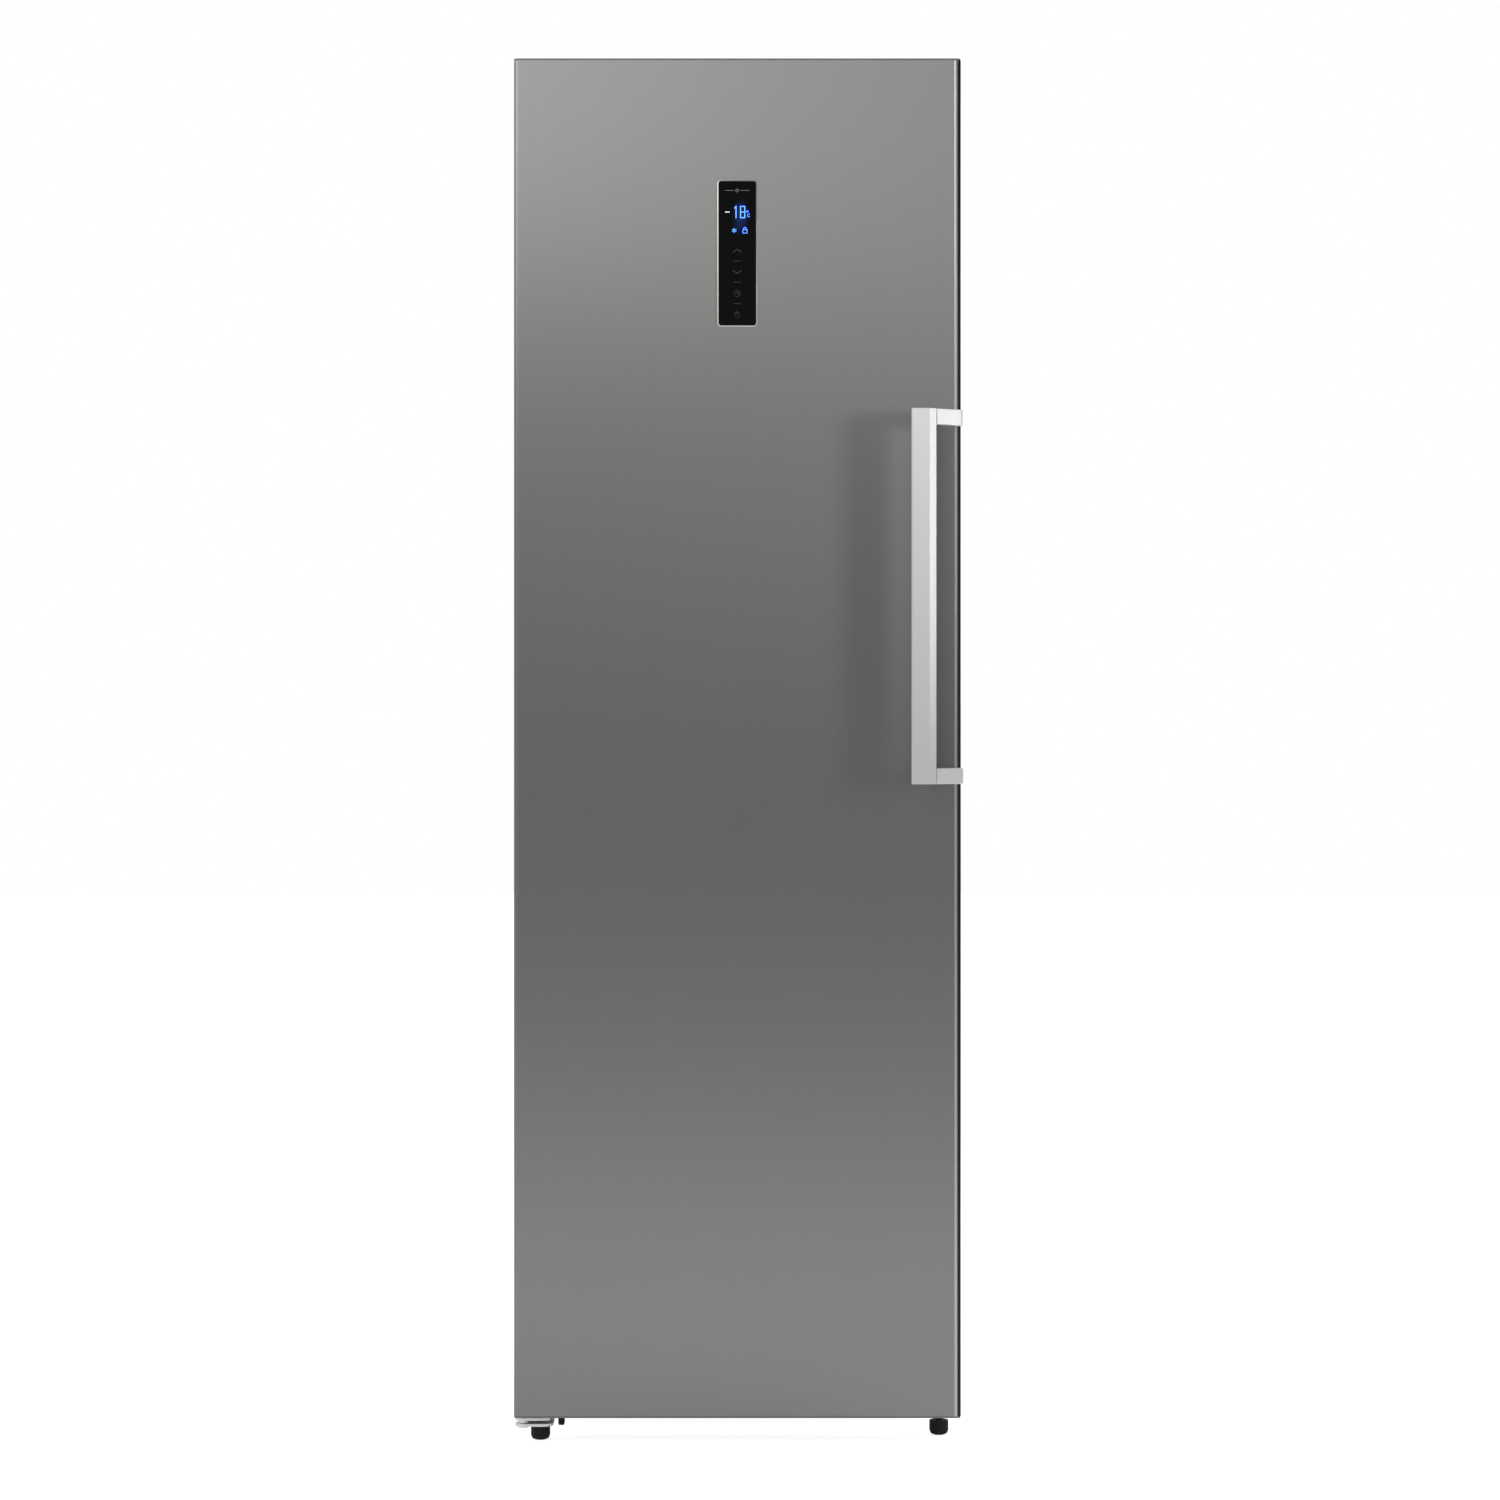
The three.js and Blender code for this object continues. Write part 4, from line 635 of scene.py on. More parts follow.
up_z, down_z, clock_z, power_z = -91.5, -119.5, -148.5, -176.5
signs("panel_fields", grey_print, [
    [(-5.5, up_z - 1.8), (0, up_z + 2.2), (5.5, up_z - 1.8)],
    [(-5.5, down_z + 1.8), (0, down_z - 2.2), (5.5, down_z + 1.8)],
    arc((0, clock_z), 4.0, 0, 360, 16),
    [(0, clock_z + 2.6), (0, clock_z), (2.2, clock_z)],
    arc((0, power_z), 3.6, 125, 415, 14),
    [(0, power_z + 0.6), (0, power_z + 4.6)],
], 0.8)
dashes = [[(-4.5, z), (4.5, z)] for z in (-105.0, -133.5, -162.0)]
signs("panel_dashes", grey_print, dashes, 0.5)

board_green = Finish("green board", {"IOR": 1.5})
tracks = board_green.step(board_green.grain((0.0012, 0.02, 0.006), 1.0), 0.5, 0.54)
board_green.vary(
    colour=board_green.mix(tracks, (0.02, 0.11, 0.05), (0.05, 0.22, 0.09)),
    roughness=0.35 + tracks * 0.2,
)
refined("display_board", board_green, 0.0001)


# ---- Handle ----
# A drawn aluminium bar with a broad bevel towards the fingers, brushed and clear lacquered,
# between two cast brackets in silver lacquer that wrap round the door's edge.

bar_metal = grained("brushed handle metal", {
    "Metallic": 0.8, "IOR": 1.5, "Coat Weight": 0.2, "Coat Roughness": 0.12, "Anisotropic": 0.95,
}, (0.0005, 0.0005, 0.06), [(0.92, 0.925, 0.925), (0.99, 0.995, 0.995)],
    (0.38, 0.06), (0.00003, 0.3), 3.0)
refined("handle_bar", bar_metal, 0.0002)

cast_metal = grained("silver lacquer", {
    "Metallic": 0.75, "IOR": 1.5, "Coat Weight": 0.3, "Coat Roughness": 0.1, "Anisotropic": 0.9,
}, 0.0003, [(0.9, 0.9, 0.905), (0.97, 0.97, 0.975)], (0.36, 0.08), (0.00002, 0.3))
refined("handle_bracket_upper", cast_metal, 0.0006)
refined("handle_bracket_lower", cast_metal, 0.0006)


# ---- Cabinet ----
# Sides and top are one folded sheet of pre-painted steel, closed by a painted back panel with
# three pressed beads. The foam between them and the liner doesn't show.

side_paint = grained(
    "silver grey paint", {"Metallic": 0.25, "IOR": 1.5}, 0.0011,
    [(0.36, 0.357, 0.35), (0.395, 0.392, 0.385)], (0.38, 0.12), (0.00006, 0.35), cloud=0.25,
)
refined("cabinet_wrapper", side_paint)
refined("back_panel", side_paint, 0.0002)

rigid_foam = Finish("insulation foam", {"Roughness": 0.95})
cells = rigid_foam.node("ShaderNodeTexVoronoi", {"Vector": rigid_foam.place, "Scale": 700.0})
rigid_foam.vary(
    colour=rigid_foam.mix(cells, (0.82, 0.72, 0.42), (0.62, 0.52, 0.28)),
    normal=rigid_foam.bump(cells, 0.0004),
)
refined("insulation_foam", rigid_foam)
refined("door_foam", rigid_foam)


# ---- Plugs ----
# Round plastic plugs close the two foam filling holes in the back panel. Three small ones
# close the spare hinge holes at the other end of the top.


def touch(node, start, toward):
    """Where a straight line from a point first meets a CAD piece."""
    mesh = frame["nodes"][node].data
    tree = BVHTree.FromPolygons(
        [v.co for v in mesh.vertices], [tuple(p.vertices) for p in mesh.polygons],
    )
    return tree.ray_cast(Vector(start), Vector(toward))[0]


def turned(shape, middle, facing, profile, sides=28):
    """Turns a profile of radius and height steps about an axis through a point."""
    tilt = Vector(facing).to_track_quat("Z", "Y")
    rings = []
    for radius, height in profile:
        turns = [2 * math.pi * i / sides for i in range(sides)]
        points = [Vector((radius * math.cos(t), radius * math.sin(t), height)) for t in turns]
        rings.append([Vector(middle) + tilt @ point for point in points])
    run(shape, rings)


plug_plastic = grained(
    "plug plastic", {"IOR": 1.46}, 0.0007, [grey(0.3), grey(0.36)],
    (0.4, 0.2), (0.00008, 0.4), 3.0, cloud=0.01,
)

# profiles of radius and height above the sheet
foam_plug = [(0.0146, -0.0001), (0.0146, 0.0006), (0.0134, 0.0013), (0.0112, 0.0014),
             (0.0104, 0.0008), (0.0026, 0.0008), (0.0018, 0.0012), (0.0004, 0.0012)]
foam_hole_x, foam_hole_z = 0.075, 1.62
behind, above = 1.0, 3.0        # where straight lines toward the cabinet start
back_plugs = bmesh.new()
for x in (-foam_hole_x, foam_hole_x):
    hole = touch("back_panel", (x, behind, foam_hole_z), (0, -1, 0))
    turned(back_plugs, hole, (0, 1, 0), foam_plug)
new_piece("foam_plugs", back_plugs, plug_plastic, "cabinet", 25)

hole_plug = [(0.0048, -0.0001), (0.0048, 0.0003), (0.004, 0.0008), (0.001, 0.001)]
hinge_holes = ((0.2825, -0.2025), (0.2595, -0.2025), (0.2705, -0.1745))
top_plugs = bmesh.new()
for x, y in hinge_holes:
    hole = touch("cabinet_wrapper", (x, y, above), (0, 0, -1))
    turned(top_plugs, hole, (0, 0, 1), hole_plug, 20)
new_piece("hinge_hole_plugs", top_plugs, plug_plastic, "cabinet", 25)


# ---- Hinges ----
# Zinc-plated steel brackets, bent and punched, each with a turned steel pin. A plastic cover
# is snapped over the upper one, and a stop below the door ends in a soft buffer.

zinc = Finish("zinc plate", {"Metallic": 0.7, "IOR": 1.5})
spangle = zinc.node("ShaderNodeTexVoronoi", {"Vector": zinc.place, "Scale": 130.0}, "Color")
crystal = zinc.node("ShaderNodeSeparateColor", [spangle])
scuff = zinc.grain((0.0008, 0.012, 0.012), 3.0)
zinc.vary(
    colour=zinc.mix(crystal * 0.6 + scuff * 0.4, (0.74, 0.75, 0.76), (0.9, 0.905, 0.91)),
    roughness=0.24 + crystal * 0.1 + scuff * 0.12,
    normal=zinc.bump(scuff, 0.00004, 0.3),
)
for node in ("upper_hinge_bracket", "lower_hinge_bracket"):
    refined(node, zinc, 0.0003)
for node in ("upper_hinge_pin", "lower_hinge_pin"):
    refined(node, zinc, 0.0002)

dark_plastic = grained(
    "dark moulded plastic", {"IOR": 1.46}, 0.0006, [(0.028, 0.028, 0.03), (0.042, 0.042, 0.044)],
    (0.42, 0.18), (0.0001, 0.4), 3.0, cloud=0.02,
)
refined("hinge_cover", dark_plastic, 0.0004)

rubber = grained(
    "black rubber", {"IOR": 1.4, "Specular IOR Level": 0.35}, 0.0025,
    [(0.011, 0.011, 0.011), (0.024, 0.024, 0.023)], (0.55, 0.3), detail=4.0,
)
rubber.vary(normal=rubber.bump(rubber.grain(0.0004), 0.00008, 0.4))
refined("door_stop", rubber, 0.0003)

stop_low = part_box("door_stop")[0]
tab_left, buffer_thick, buffer_corner = -0.2343, 0.0046, 0.003
buffer_low = (stop_low.y + 0.003, stop_low.z + 0.0003)
buffer_high = (stop_low.y + 0.019, stop_low.z + 0.0135)
# steps out from the tab, and how far the outline has grown there
buffer_steps = [
    (0.0, 0.0), (buffer_thick * 0.7, 0.0), (buffer_thick * 0.93, -0.0006), (buffer_thick, -0.0018),
]
buffer = bmesh.new()
run(buffer, [[
    (tab_left - out, y, z) for y, z in loop(buffer_low, buffer_high, buffer_corner, grow, 3)
] for out, grow in buffer_steps])
new_piece("stop_buffer", buffer, rubber, "door", 30)


# ---- Screws ----
# Zinc-plated screws with a washer and a cross recess hold the lower hinge bracket from below,
# the back panel along its edges and the compressor's four rubber mounts.


class Rule(Nodes):
    """A shape that follows a rule: a Geometry Nodes tree with named inputs."""

    def __init__(self, name, **inputs):
        super().__init__(bpy.data.node_groups.new(name, "GeometryNodeTree"))
        kinds = {float: "NodeSocketFloat", int: "NodeSocketInt", tuple: "NodeSocketVector"}
        face = self.tree.interface
        face.new_socket("shape", in_out="OUTPUT", socket_type="NodeSocketGeometry")
        face.new_socket("points", in_out="INPUT", socket_type="NodeSocketGeometry")
        self.keys = {}
        for label, value in inputs.items():
            made = face.new_socket(label, in_out="INPUT", socket_type=kinds[type(value)])
            made.default_value = value
            self.keys[label] = made.identifier
        self.group = self.tree.nodes.new("NodeGroupInput")

    def __getitem__(self, label):
        return Value(self, self.group.outputs[label])

    def vector(self, x, y, z):
        return self.node("ShaderNodeCombineXYZ", [x, y, z])

    def along_x(self, shape, count, pitch):
        """A row of copies of a shape that starts at each point."""
        row = self.node("GeometryNodeMeshLine", {
            "Count": count, "Offset": self.vector(pitch, 0.0, 0.0),
        })
        row = self.node("GeometryNodeInstanceOnPoints", {"Points": row, "Instance": shape})
        return self.node("GeometryNodeInstanceOnPoints", {
            "Points": self["points"], "Instance": row,
        })

    def cone(self, sides, top, foot, height):
        """A blunt cone that stands on its foot."""
        return self.node("GeometryNodeMeshCone", {
            "Vertices": sides, "Radius Top": top, "Radius Bottom": foot, "Depth": height,
        })

    def raised(self, shape, height):
        """The shape, moved up."""
        return self.node("GeometryNodeTransform", {
            "Geometry": shape, "Translation": self.vector(0.0, 0.0, height),
        })

    def join(self, *shapes):
        joined = self.node("GeometryNodeJoinGeometry")
        for shape in shapes:
            self.tree.links.new(shape.socket, joined.socket.node.inputs[0])
        return joined

    def end(self, shape, finish):
        """Closes the tree: everything real, in its finish."""
        whole = self.node("GeometryNodeRealizeInstances", [shape])
        whole = self.node("GeometryNodeSetMaterial", {
            "Geometry": whole, "Material": finish.material,
        })
        self.node("NodeGroupOutput", [whole])

    def grow(self, name, points, body, slot, chained=False, sharp=sharp_turn, **sizes):
        """Runs the rule on some points and makes the result a piece that rides on a body.
        Chained points are joined by edges, from each to the next."""
        edges = [(i - 1, i) for i in range(1, len(points))] if chained else []
        mesh = bpy.data.meshes.new(name)
        mesh.from_pydata([tuple(point) for point in points], edges, [])
        piece = link(name, mesh, None)
        grown = piece.modifiers.new("rule", "NODES")
        grown.node_group = self.tree
        for label, value in sizes.items():
            grown[self.keys[label]] = value
        settle(piece)
        shape = bmesh.new()
        shape.from_mesh(piece.data)
        shaded(shape, sharp)
        shape.to_mesh(piece.data)
        shape.free()
        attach(piece, body)
        return piece


# shares of a screw's radius and height
washer_top, washer_foot, washer_tall = 1.38, 1.42, 0.32
head_top, head_tall, head_lift = 0.72, 0.75, 0.25
recess_long, recess_wide, screw_sides = 1.1, 0.26, 22

screws = Rule(
    "cross_recessed_screws", radius=0.0046, height=0.0018, facing=(0.0, 0.0, 1.0), seed=3,
)
radius, height = screws["radius"], screws["height"]
washer = screws.cone(screw_sides, radius * washer_top, radius * washer_foot, height * washer_tall)
head = screws.cone(screw_sides, radius * head_top, radius, height * head_tall)
head = screws.raised(head, height * head_lift)
for across, along in ((recess_long, recess_wide), (recess_wide, recess_long)):
    bit = screws.node("GeometryNodeMeshCube", {
        "Size": screws.vector(radius * across, radius * along, height),
    })
    head = screws.node("GeometryNodeMeshBoolean", {
        "Mesh 1": head, "Mesh 2": screws.raised(bit, height),
    }, operation="DIFFERENCE")
half_turn = screws.node(
    "FunctionNodeRandomValue", {2: 0.0, 3: 3.14, "Seed": screws["seed"]}, 1, data_type="FLOAT",
)
spun = screws.node("FunctionNodeAxisAngleToRotation", {"Axis": (0, 0, 1), "Angle": half_turn})
spun = screws.node("FunctionNodeAlignRotationToVector", {
    "Rotation": spun, "Vector": screws["facing"],
}, axis="Z")
screws.end(screws.node("GeometryNodeInstanceOnPoints", {
    "Points": screws["points"], "Instance": screws.join(washer, head), "Rotation": spun,
}), zinc)

# each hinge hole is met just beside it, where the bracket is flat
beside_hole, below = 0.005, -1.0
hinge_screws = []
for x, y in hinge_holes:
    flat = touch("lower_hinge_bracket", (-x, y - beside_hole, below), (0, 0, 1))
    hinge_screws.append((-x, y, flat.z))
screws.grow("lower_hinge_screws", hinge_screws, "cabinet", "zinc_steel",
            facing=(0.0, 0.0, -1.0), radius=0.0042, height=0.0022, seed=5)

panel_low, panel_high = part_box("back_panel")
edge_inset, screw_rows, screw_columns, column_pitch = 0.007, 7, 3, 0.19
edge_low, edge_high = panel_low.z + edge_inset, panel_high.z - edge_inset
places = []
for i in range(screw_rows):
    z = edge_low + (panel_high.z - panel_low.z - 2 * edge_inset) * i / (screw_rows - 1)
    places += [(panel_low.x + edge_inset, z), (panel_high.x - edge_inset, z)]
for i in range(screw_columns):
    x = (i - 1) * column_pitch
    places += [(x, edge_low), (x, edge_high)]
places = [touch("back_panel", (x, behind, z), (0, -1, 0)) for x, z in places]
screws.grow("back_panel_screws", places, "cabinet", "zinc_steel",
            facing=(0.0, 1.0, 0.0), radius=0.0036, height=0.0017, seed=11)

shell_low, shell_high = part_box("compressor")
inset_x, inset_y, mount_above = 0.017, 0.0275, 0.12
mounts = []
for x in (shell_low.x + inset_x, shell_high.x - inset_x):
    for y in (shell_low.y + inset_y, shell_high.y - inset_y):
        mounts.append(touch("compressor", (x, y, mount_above), (0, 0, -1)))
screws.grow("mount_screws", mounts, "cabinet", "zinc_steel", radius=0.0052, height=0.004, seed=7)


# ---- Feet and rollers ----
# Two black feet on threaded steel stems in front, two plastic rollers on steel axles behind.

for node in ("foot_left", "foot_right"):
    refined(node, rubber, 0.0003)
for node in ("roller_left", "roller_right"):
    refined(node, dark_plastic, 0.0003)


# ---- Door lining ----
# A vacuum-formed white sheet with a raised plug, and a soft grey seal with a magnet in it.

white_plastic = grained(
    "white polystyrene", {"IOR": 1.5, "Coat Weight": 0.15, "Coat Roughness": 0.2}, 0.012,
    [(0.76, 0.775, 0.785), (0.8, 0.812, 0.82)], (0.32, 0.1), (0.0003, 0.15), cloud=0.15,
)
refined("door_inner_panel", white_plastic, 0.0005)

seal_rubber = grained(
    "grey seal", {"IOR": 1.42, "Specular IOR Level": 0.4}, 0.004,
    [(0.3, 0.305, 0.31), (0.37, 0.375, 0.38)], (0.5, 0.2), detail=3.0,
)
seal_rubber.vary(normal=seal_rubber.bump(seal_rubber.grain(0.0005), 0.00005, 0.3))

# the seal's section, as inset from its outer edge and height above the door, in millimetres
seal_section = [
    (3.0, 10.4), (13.0, 10.4), (14.2, 9.4), (14.2, 7.8), (12.6, 6.8), (16.5, 5.4), (19.6, 6.4),
    (20.0, 5.4), (17.5, 3.2), (20.0, 1.8), (19.2, 0.0), (0.8, 0.0), (0.0, 1.6), (2.2, 3.0),
    (0.2, 4.6), (0.8, 5.8), (3.4, 6.8), (1.8, 7.8), (1.8, 9.4),
]
seal_low, seal_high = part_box("door_gasket")
seal = bmesh.new()
seal_rings = []
for inset, proud in seal_section:
    low_x, high_x = seal_low.x + inset / 1000, seal_high.x - inset / 1000
    low_z, high_z = seal_low.z + inset / 1000, seal_high.z - inset / 1000
    seal_rings.append([(x, seal_low.y + proud / 1000, z) for x, z in (
        (low_x, low_z), (high_x, low_z), (high_x, high_z), (low_x, high_z))])
run(seal, seal_rings + seal_rings[:1], ends=False)
gasket = new_piece("bellows_gasket", seal, seal_rubber, "door", 28)
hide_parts("door_gasket")


# ---- Freezer compartment ----
# A vacuum-formed liner with drawer rails clipped to its sides, a glass shelf near the top and
# a lamp in the roof.

refined("inner_liner", white_plastic)
for node in ("drawer_rails_left", "drawer_rails_right"):
    refined(node, white_plastic, 0.0003)

shelf_glass = Finish("shelf glass", {
    "IOR": 1.5, "Transmission Weight": 0.92, "Roughness": 0.03, "Base Color": (0.86, 0.94, 0.92, 1),
})
wipe = shelf_glass.grain((0.05, 0.01, 0.02))
shelf_glass.vary(roughness=0.02 + wipe * 0.04)
refined("glass_shelf", shelf_glass, 0.0004)

lens = Finish("lamp lens", {"IOR": 1.46, "Emission Strength": 0.35})
lens_ribs = lens.grain((0.003, 0.05, 0.05), 1.0)
lens.vary(
    colour=lens.mix(lens_ribs, (0.82, 0.86, 0.88), (0.9, 0.93, 0.95)),
    glow=lens.mix(lens_ribs, (0.8, 0.88, 1.0), (0.95, 0.98, 1.0)),
    roughness=0.2 + lens_ribs * 0.15,
)
refined("led_lamp", lens, 0.0004)

led_light = Finish("led light", {"Roughness": 0.3, "Emission Strength": 2.5})
led_spread = led_light.grain(0.002)
led_light.vary(
    glow=led_light.mix(led_spread, (0.8, 0.88, 1.0), (0.95, 0.97, 1.0)),
    colour=led_light.mix(led_spread, (0.8, 0.85, 0.8), (0.9, 0.9, 0.8)),
)
leds = Rule("lamp_diodes", count=8, pitch=0.018, radius=0.0024, height=0.0006)
diode = leds.cone(12, leds["radius"] * 0.7, leds["radius"], leds["height"])
hanging = leds.node("GeometryNodeTransform", {"Geometry": diode, "Scale": (1, 1, -1)})
hanging = leds.node("GeometryNodeFlipFaces", [hanging])
leds.end(leds.along_x(hanging, leds["count"], leds["pitch"]), led_light)
lens_low, lens_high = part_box("led_lamp")
led_inset = 0.012
first_led = (lens_low.x + led_inset, (lens_low.y + lens_high.y) / 2, lens_low.z)
leds.grow("lamp_diodes", [first_led], "cabinet", "clear_plastic")


# ---- Drawers ----
# White moulded baskets with ribs on their sides. Their clear fronts have a finger groove along
# the top and upright flutes over the flat face.

clear_plastic = Finish("clear drawer plastic", {
    "IOR": 1.49, "Coat Weight": 0.4, "Coat Roughness": 0.06,
})
# the fronts are evenly spaced, so one rule finds the flat face of each
drawer_pitch, second_front = 0.236, 0.344
face_foot, face_head = (0.019, 0.021), (0.158, 0.16)
aloft = clear_plastic.axis(clear_plastic.place, "Z")
in_front = clear_plastic.maths("WRAP", aloft - second_front, drawer_pitch, 0.0)
on_face = clear_plastic.step(in_front, *face_foot)
on_face = on_face * (1 - clear_plastic.step(in_front, *face_head))
flow = clear_plastic.grain((0.08, 0.02, 0.03))
clear_plastic.vary(
    colour=clear_plastic.mix(flow, (0.64, 0.755, 0.81), (0.73, 0.835, 0.88)),
    roughness=0.07 + flow * 0.06 + on_face * 0.07,
    alpha=0.3 + flow * 0.06 + on_face * 0.16,
    normal=clear_plastic.bump(flow, 0.0003, 0.15),
)

fluted_plastic = grained(
    "fluted drawer plastic", {"IOR": 1.49, "Coat Weight": 0.4, "Alpha": 0.8}, (0.08, 0.02, 0.03),
    [(0.66, 0.775, 0.83), (0.73, 0.835, 0.88)], (0.12, 0.08),
)
flute_foot, flute_head, flute_count, flute_inset, flute_flat = 0.022, 0.056, 24, 0.02, 0.42
flutes = Rule("drawer_flutes", count=flute_count, pitch=0.018, radius=0.0042, tall=0.155)
rod = flutes.cone(10, flutes["radius"], flutes["radius"], flutes["tall"])
rod = flutes.node("GeometryNodeTransform", {"Geometry": rod, "Scale": (1, flute_flat, 1)})
flutes.end(flutes.along_x(rod, flutes["count"], flutes["pitch"]), fluted_plastic)


def side_ribs(number):
    """Upright ribs on both sides of a basket, laid on its leaning wall."""
    basket = f"drawer_{number}_basket"
    low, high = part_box(basket)
    wide, proud, sunk, taper = 0.003, 0.0008, 0.0001, 0.003
    spacing, margin, rib_foot, rib_head = 0.032, 0.03, 0.022, 0.03
    outline = [(0, -wide / 2), (proud, -wide / 4), (proud, wide / 4), (0, wide / 2)]
    deep = high.y - low.y - 2 * margin
    count = int(deep / spacing)
    shape = bmesh.new()
    for side in (-1, 1):
        for i in range(count + 1):
            y = low.y + margin + deep * i / count
            foot, head = (touch(basket, (side, y, z), (-side, 0, 0))
                          for z in (low.z + rib_foot, high.z - rib_head))
            rings = []
            for end, rise in ((foot, -taper), (foot, 0), (head, 0), (head, taper)):
                rings.append([(
                    end.x + side * ((0 if rise else out) - sunk), y + along, end.z + rise,
                ) for out, along in outline])
            run(shape, rings)
    new_piece(
        f"drawer_{number}_ribs", shape, white_plastic, f"drawer_{number}", 30,
    )


for number in range(1, 7):
    refined(f"drawer_{number}_basket", white_plastic, 0.0004)
    refined(f"drawer_{number}_front", clear_plastic, 0.0003)
    side_ribs(number)
    front_low, front_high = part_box(f"drawer_{number}_front")
    first_flute = (front_low.x + flute_inset, front_low.y, front_low.z + flute_foot)
    span = front_high.x - front_low.x - 2 * flute_inset
    flutes.grow(f"drawer_{number}_flutes", [first_flute], f"drawer_{number}", "clear_plastic",
                pitch=span / (flute_count - 1),
                tall=front_high.z - front_low.z - flute_foot - flute_head)


# ---- Air duct, evaporator and fan ----
# A white cover with vents hides a finned aluminium coil, its heater, and the fan that blows
# cold air through the upper vents.

refined("evaporator_cover", white_plastic, 0.0003)
fin_metal = grained(
    "fin aluminium", {"Metallic": 0.9, "IOR": 1.5}, (0.002, 0.0006, 0.03),
    [(0.68, 0.69, 0.7), (0.84, 0.85, 0.855)], (0.28, 0.16),
)
refined("evaporator", fin_metal)
refined("defrost_heater", fin_metal)

coil_low, coil_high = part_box("evaporator")
fin_count, fin_tall, fin_depth = 66, 0.232, 0.05
fin_pitch = (coil_high.x - coil_low.x) / (fin_count + 1)
front_inset, top_inset, waves = 0.0008, 0.0006, 420.0
fins = Rule("evaporator_fins", count=fin_count, pitch=fin_pitch, thick=0.0003, depth=fin_depth,
            tall=fin_tall, wave=0.0005)
plate = fins.node("GeometryNodeMeshCube", {
    "Size": fins.vector(fins["thick"], fins["depth"], fins["tall"]), "Vertices Y": 12,
})
along = fins.axis(fins.node("GeometryNodeInputPosition"), "Y")
plate = fins.node("GeometryNodeSetPosition", {
    "Geometry": plate,
    "Offset": fins.vector(fins.maths("SINE", along * waves) * fins["wave"], 0.0, 0.0),
})
fins.end(fins.along_x(plate, fins["count"], fins["pitch"]), fin_metal)
first_fin = (coil_low.x + fin_pitch, coil_low.y + front_inset + fin_depth / 2,
             coil_high.z - top_inset - fin_tall / 2)
fins.grow("evaporator_fins", [first_fin], "cabinet", "fin_aluminium")
refined("fan_motor", white_plastic, 0.0003)

grey_plastic = grained(
    "grey moulded plastic", {"IOR": 1.46}, 0.0006, [(0.24, 0.245, 0.25), (0.29, 0.295, 0.3)],
    (0.4, 0.18), (0.0001, 0.4), 3.0, cloud=0.02,
)
refined("evaporator_fan", grey_plastic, sharp=30)


# ---- Compressor compartment ----
# The sealed compressor stands on rubber mounts on a zinc-plated cross channel, with its
# copper pipes, the filter drier, the defrost-water tray on top and the electronics beside it.

refined("base_deck", zinc)
refined("compressor_plate", zinc, 0.0002)

enamel = grained(
    "black enamel", {"IOR": 1.5, "Coat Weight": 0.35, "Coat Roughness": 0.25}, 0.004,
    [(0.008, 0.008, 0.009), (0.02, 0.02, 0.021)], (0.3, 0.15), (0.0002, 0.25), 3.0,
)
refined("compressor", enamel, 0.0005)
refined("compressor_relay_cover", dark_plastic, 0.0006)

copper = Finish("drawn copper", {"Metallic": 0.95, "IOR": 1.5})
tarnish = copper.step(copper.grain(0.02, 4.0), 0.35, 0.7)
copper.vary(
    colour=copper.mix(tarnish, (0.72, 0.36, 0.23), (0.36, 0.18, 0.12)),
    roughness=0.24 + tarnish * 0.22,
)
for node in ("suction_pipe", "discharge_pipe", "condenser_coil", "filter_drier"):
    refined(node, copper, sharp=50)
refined("drain_hose", grey_plastic, 0.0003)
refined("evaporation_tray", dark_plastic, 0.0006)
refined("electronics_box", grey_plastic, 0.0006)
refined("cord_gland", rubber, 0.0004)

# the bead where the two halves of the shell are welded together
shell_middle = Vector(((shell_low.x + shell_high.x) / 2, (shell_low.y + shell_high.y) / 2, 0))
seam_share = 0.586              # how far up the shell its seam lies
weld_z = shell_low.z + seam_share * (shell_high.z - shell_low.z)
weld_radius, bead_radius, shell_oval, weld_steps = 0.0905, 0.0014, 0.78, 72
bead_sides, bead_swell = 8, 0.12
weld = bmesh.new()
bead = []
for i in range(weld_steps):
    turn = 2 * math.pi * i / weld_steps
    swell = bead_radius * (1 + bead_swell * (i % 3 - 1))
    ring = []
    for j in range(bead_sides):
        lean = 2 * math.pi * j / bead_sides
        reach = weld_radius + swell * math.cos(lean)
        ring.append((shell_middle.x + reach * math.cos(turn),
                     shell_middle.y + reach * shell_oval * math.sin(turn),
                     weld_z + swell * math.sin(lean)))
    bead.append(ring)
run(weld, bead + bead[:1], ends=False)
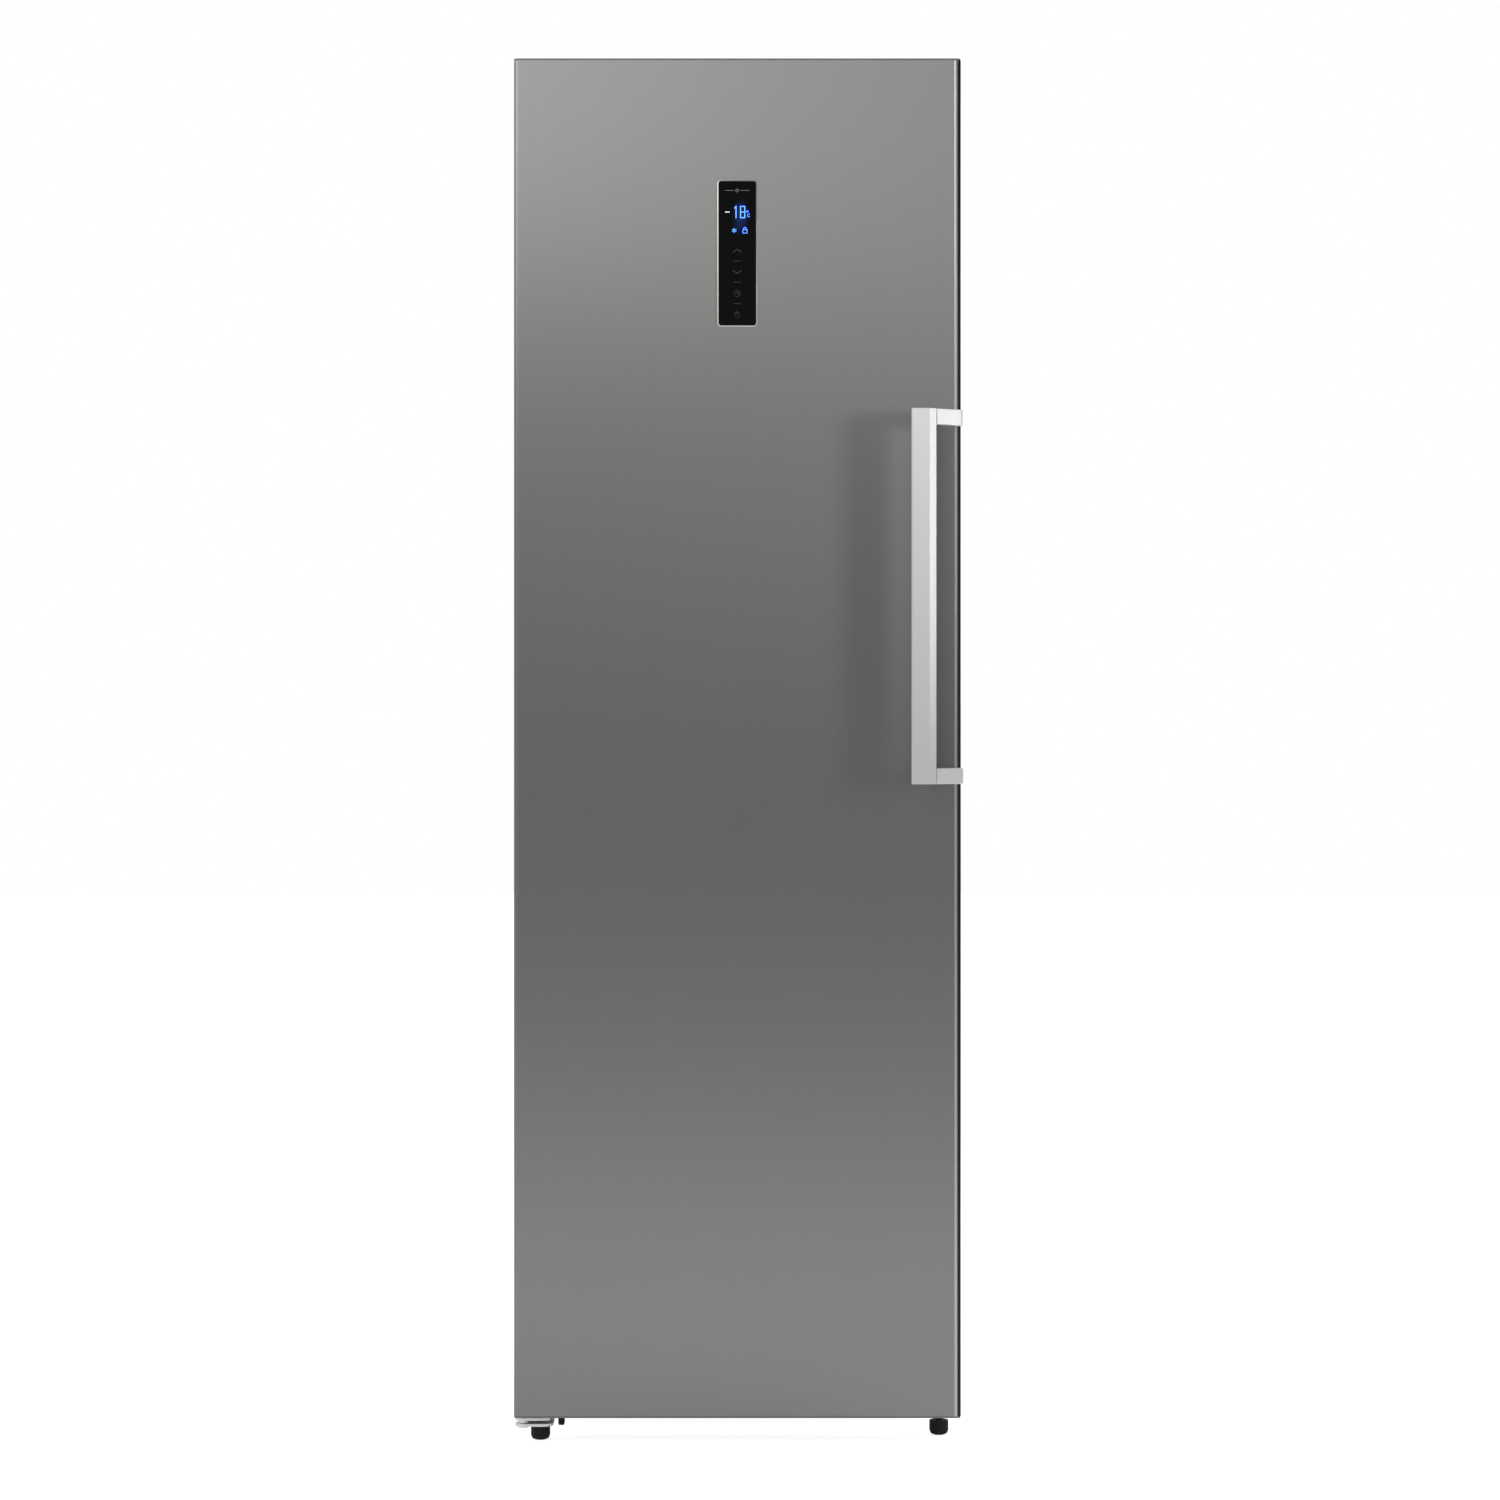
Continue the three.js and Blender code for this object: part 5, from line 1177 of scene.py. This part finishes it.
new_piece("compressor_weld", weld, enamel, "cabinet", 60)


def round_runs(name, finish, radius, bend, sides):
    """A rule for round wires or tubes along a path with rounded corners."""
    rule = Rule(name, radius=radius, bend=bend)
    path = rule.node("GeometryNodeMeshToCurve", [rule["points"]])
    path = rule.node("GeometryNodeFilletCurve", {
        "Curve": path, "Count": 6, "Radius": rule["bend"], "Limit Radius": True,
    }, mode="POLY")
    section = rule.node("GeometryNodeCurvePrimitiveCircle", {
        "Resolution": sides, "Radius": rule["radius"],
    })
    rule.end(rule.node("GeometryNodeCurveToMesh", {
        "Curve": path, "Profile Curve": section, "Fill Caps": True,
    }), finish)
    return rule


# three wires from the relay to the electronics, side by side
sheath_black = grained(
    "black cable sheath", {"IOR": 1.45}, 0.003, [grey(0.012), grey(0.03)], (0.4, 0.25), detail=3.0,
)
wires = round_runs("wires", sheath_black, 0.0016, 0.012, 10)
wire_pitch = 0.0055
relay_low, relay_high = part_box("compressor_relay_cover")
box_low, box_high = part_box("electronics_box")
for i, name in enumerate(("supply", "start", "sensor")):
    aside = i * wire_pitch
    end_x, y, z = box_low.x + 0.013 + aside, relay_low.y + aside, relay_low.z
    corners = [
        (relay_high.x - 0.004, y + 0.008, z + 0.022),
        (relay_high.x + 0.03, y + 0.008, z + 0.018 - aside),
        (box_low.x - 0.075, y + 0.006, z + 0.014 - aside),
        (end_x, box_high.y + 0.006, z + 0.016),
        (end_x, box_high.y - 0.02, z + 0.018),
        (end_x, box_high.y - 0.02, box_low.z + 0.002),
    ]
    wires.grow(f"{name}_wire", corners, "cabinet", "black_rubber", chained=True, sharp=60)

# the sealed stub through which the cold circuit was filled
tubes = round_runs("tubes", copper, 0.0026, 0.01, 12)
stub_start = Vector((shell_middle.x - 0.062, shell_middle.y + 0.045, shell_low.z + 0.066))
stub_bend = stub_start + Vector((-0.02, 0.027, 0))
tubes.grow("filling_stub", [stub_start, stub_bend, stub_bend + Vector((0, 0, 0.034))],
           "cabinet", "copper", chained=True, sharp=60)
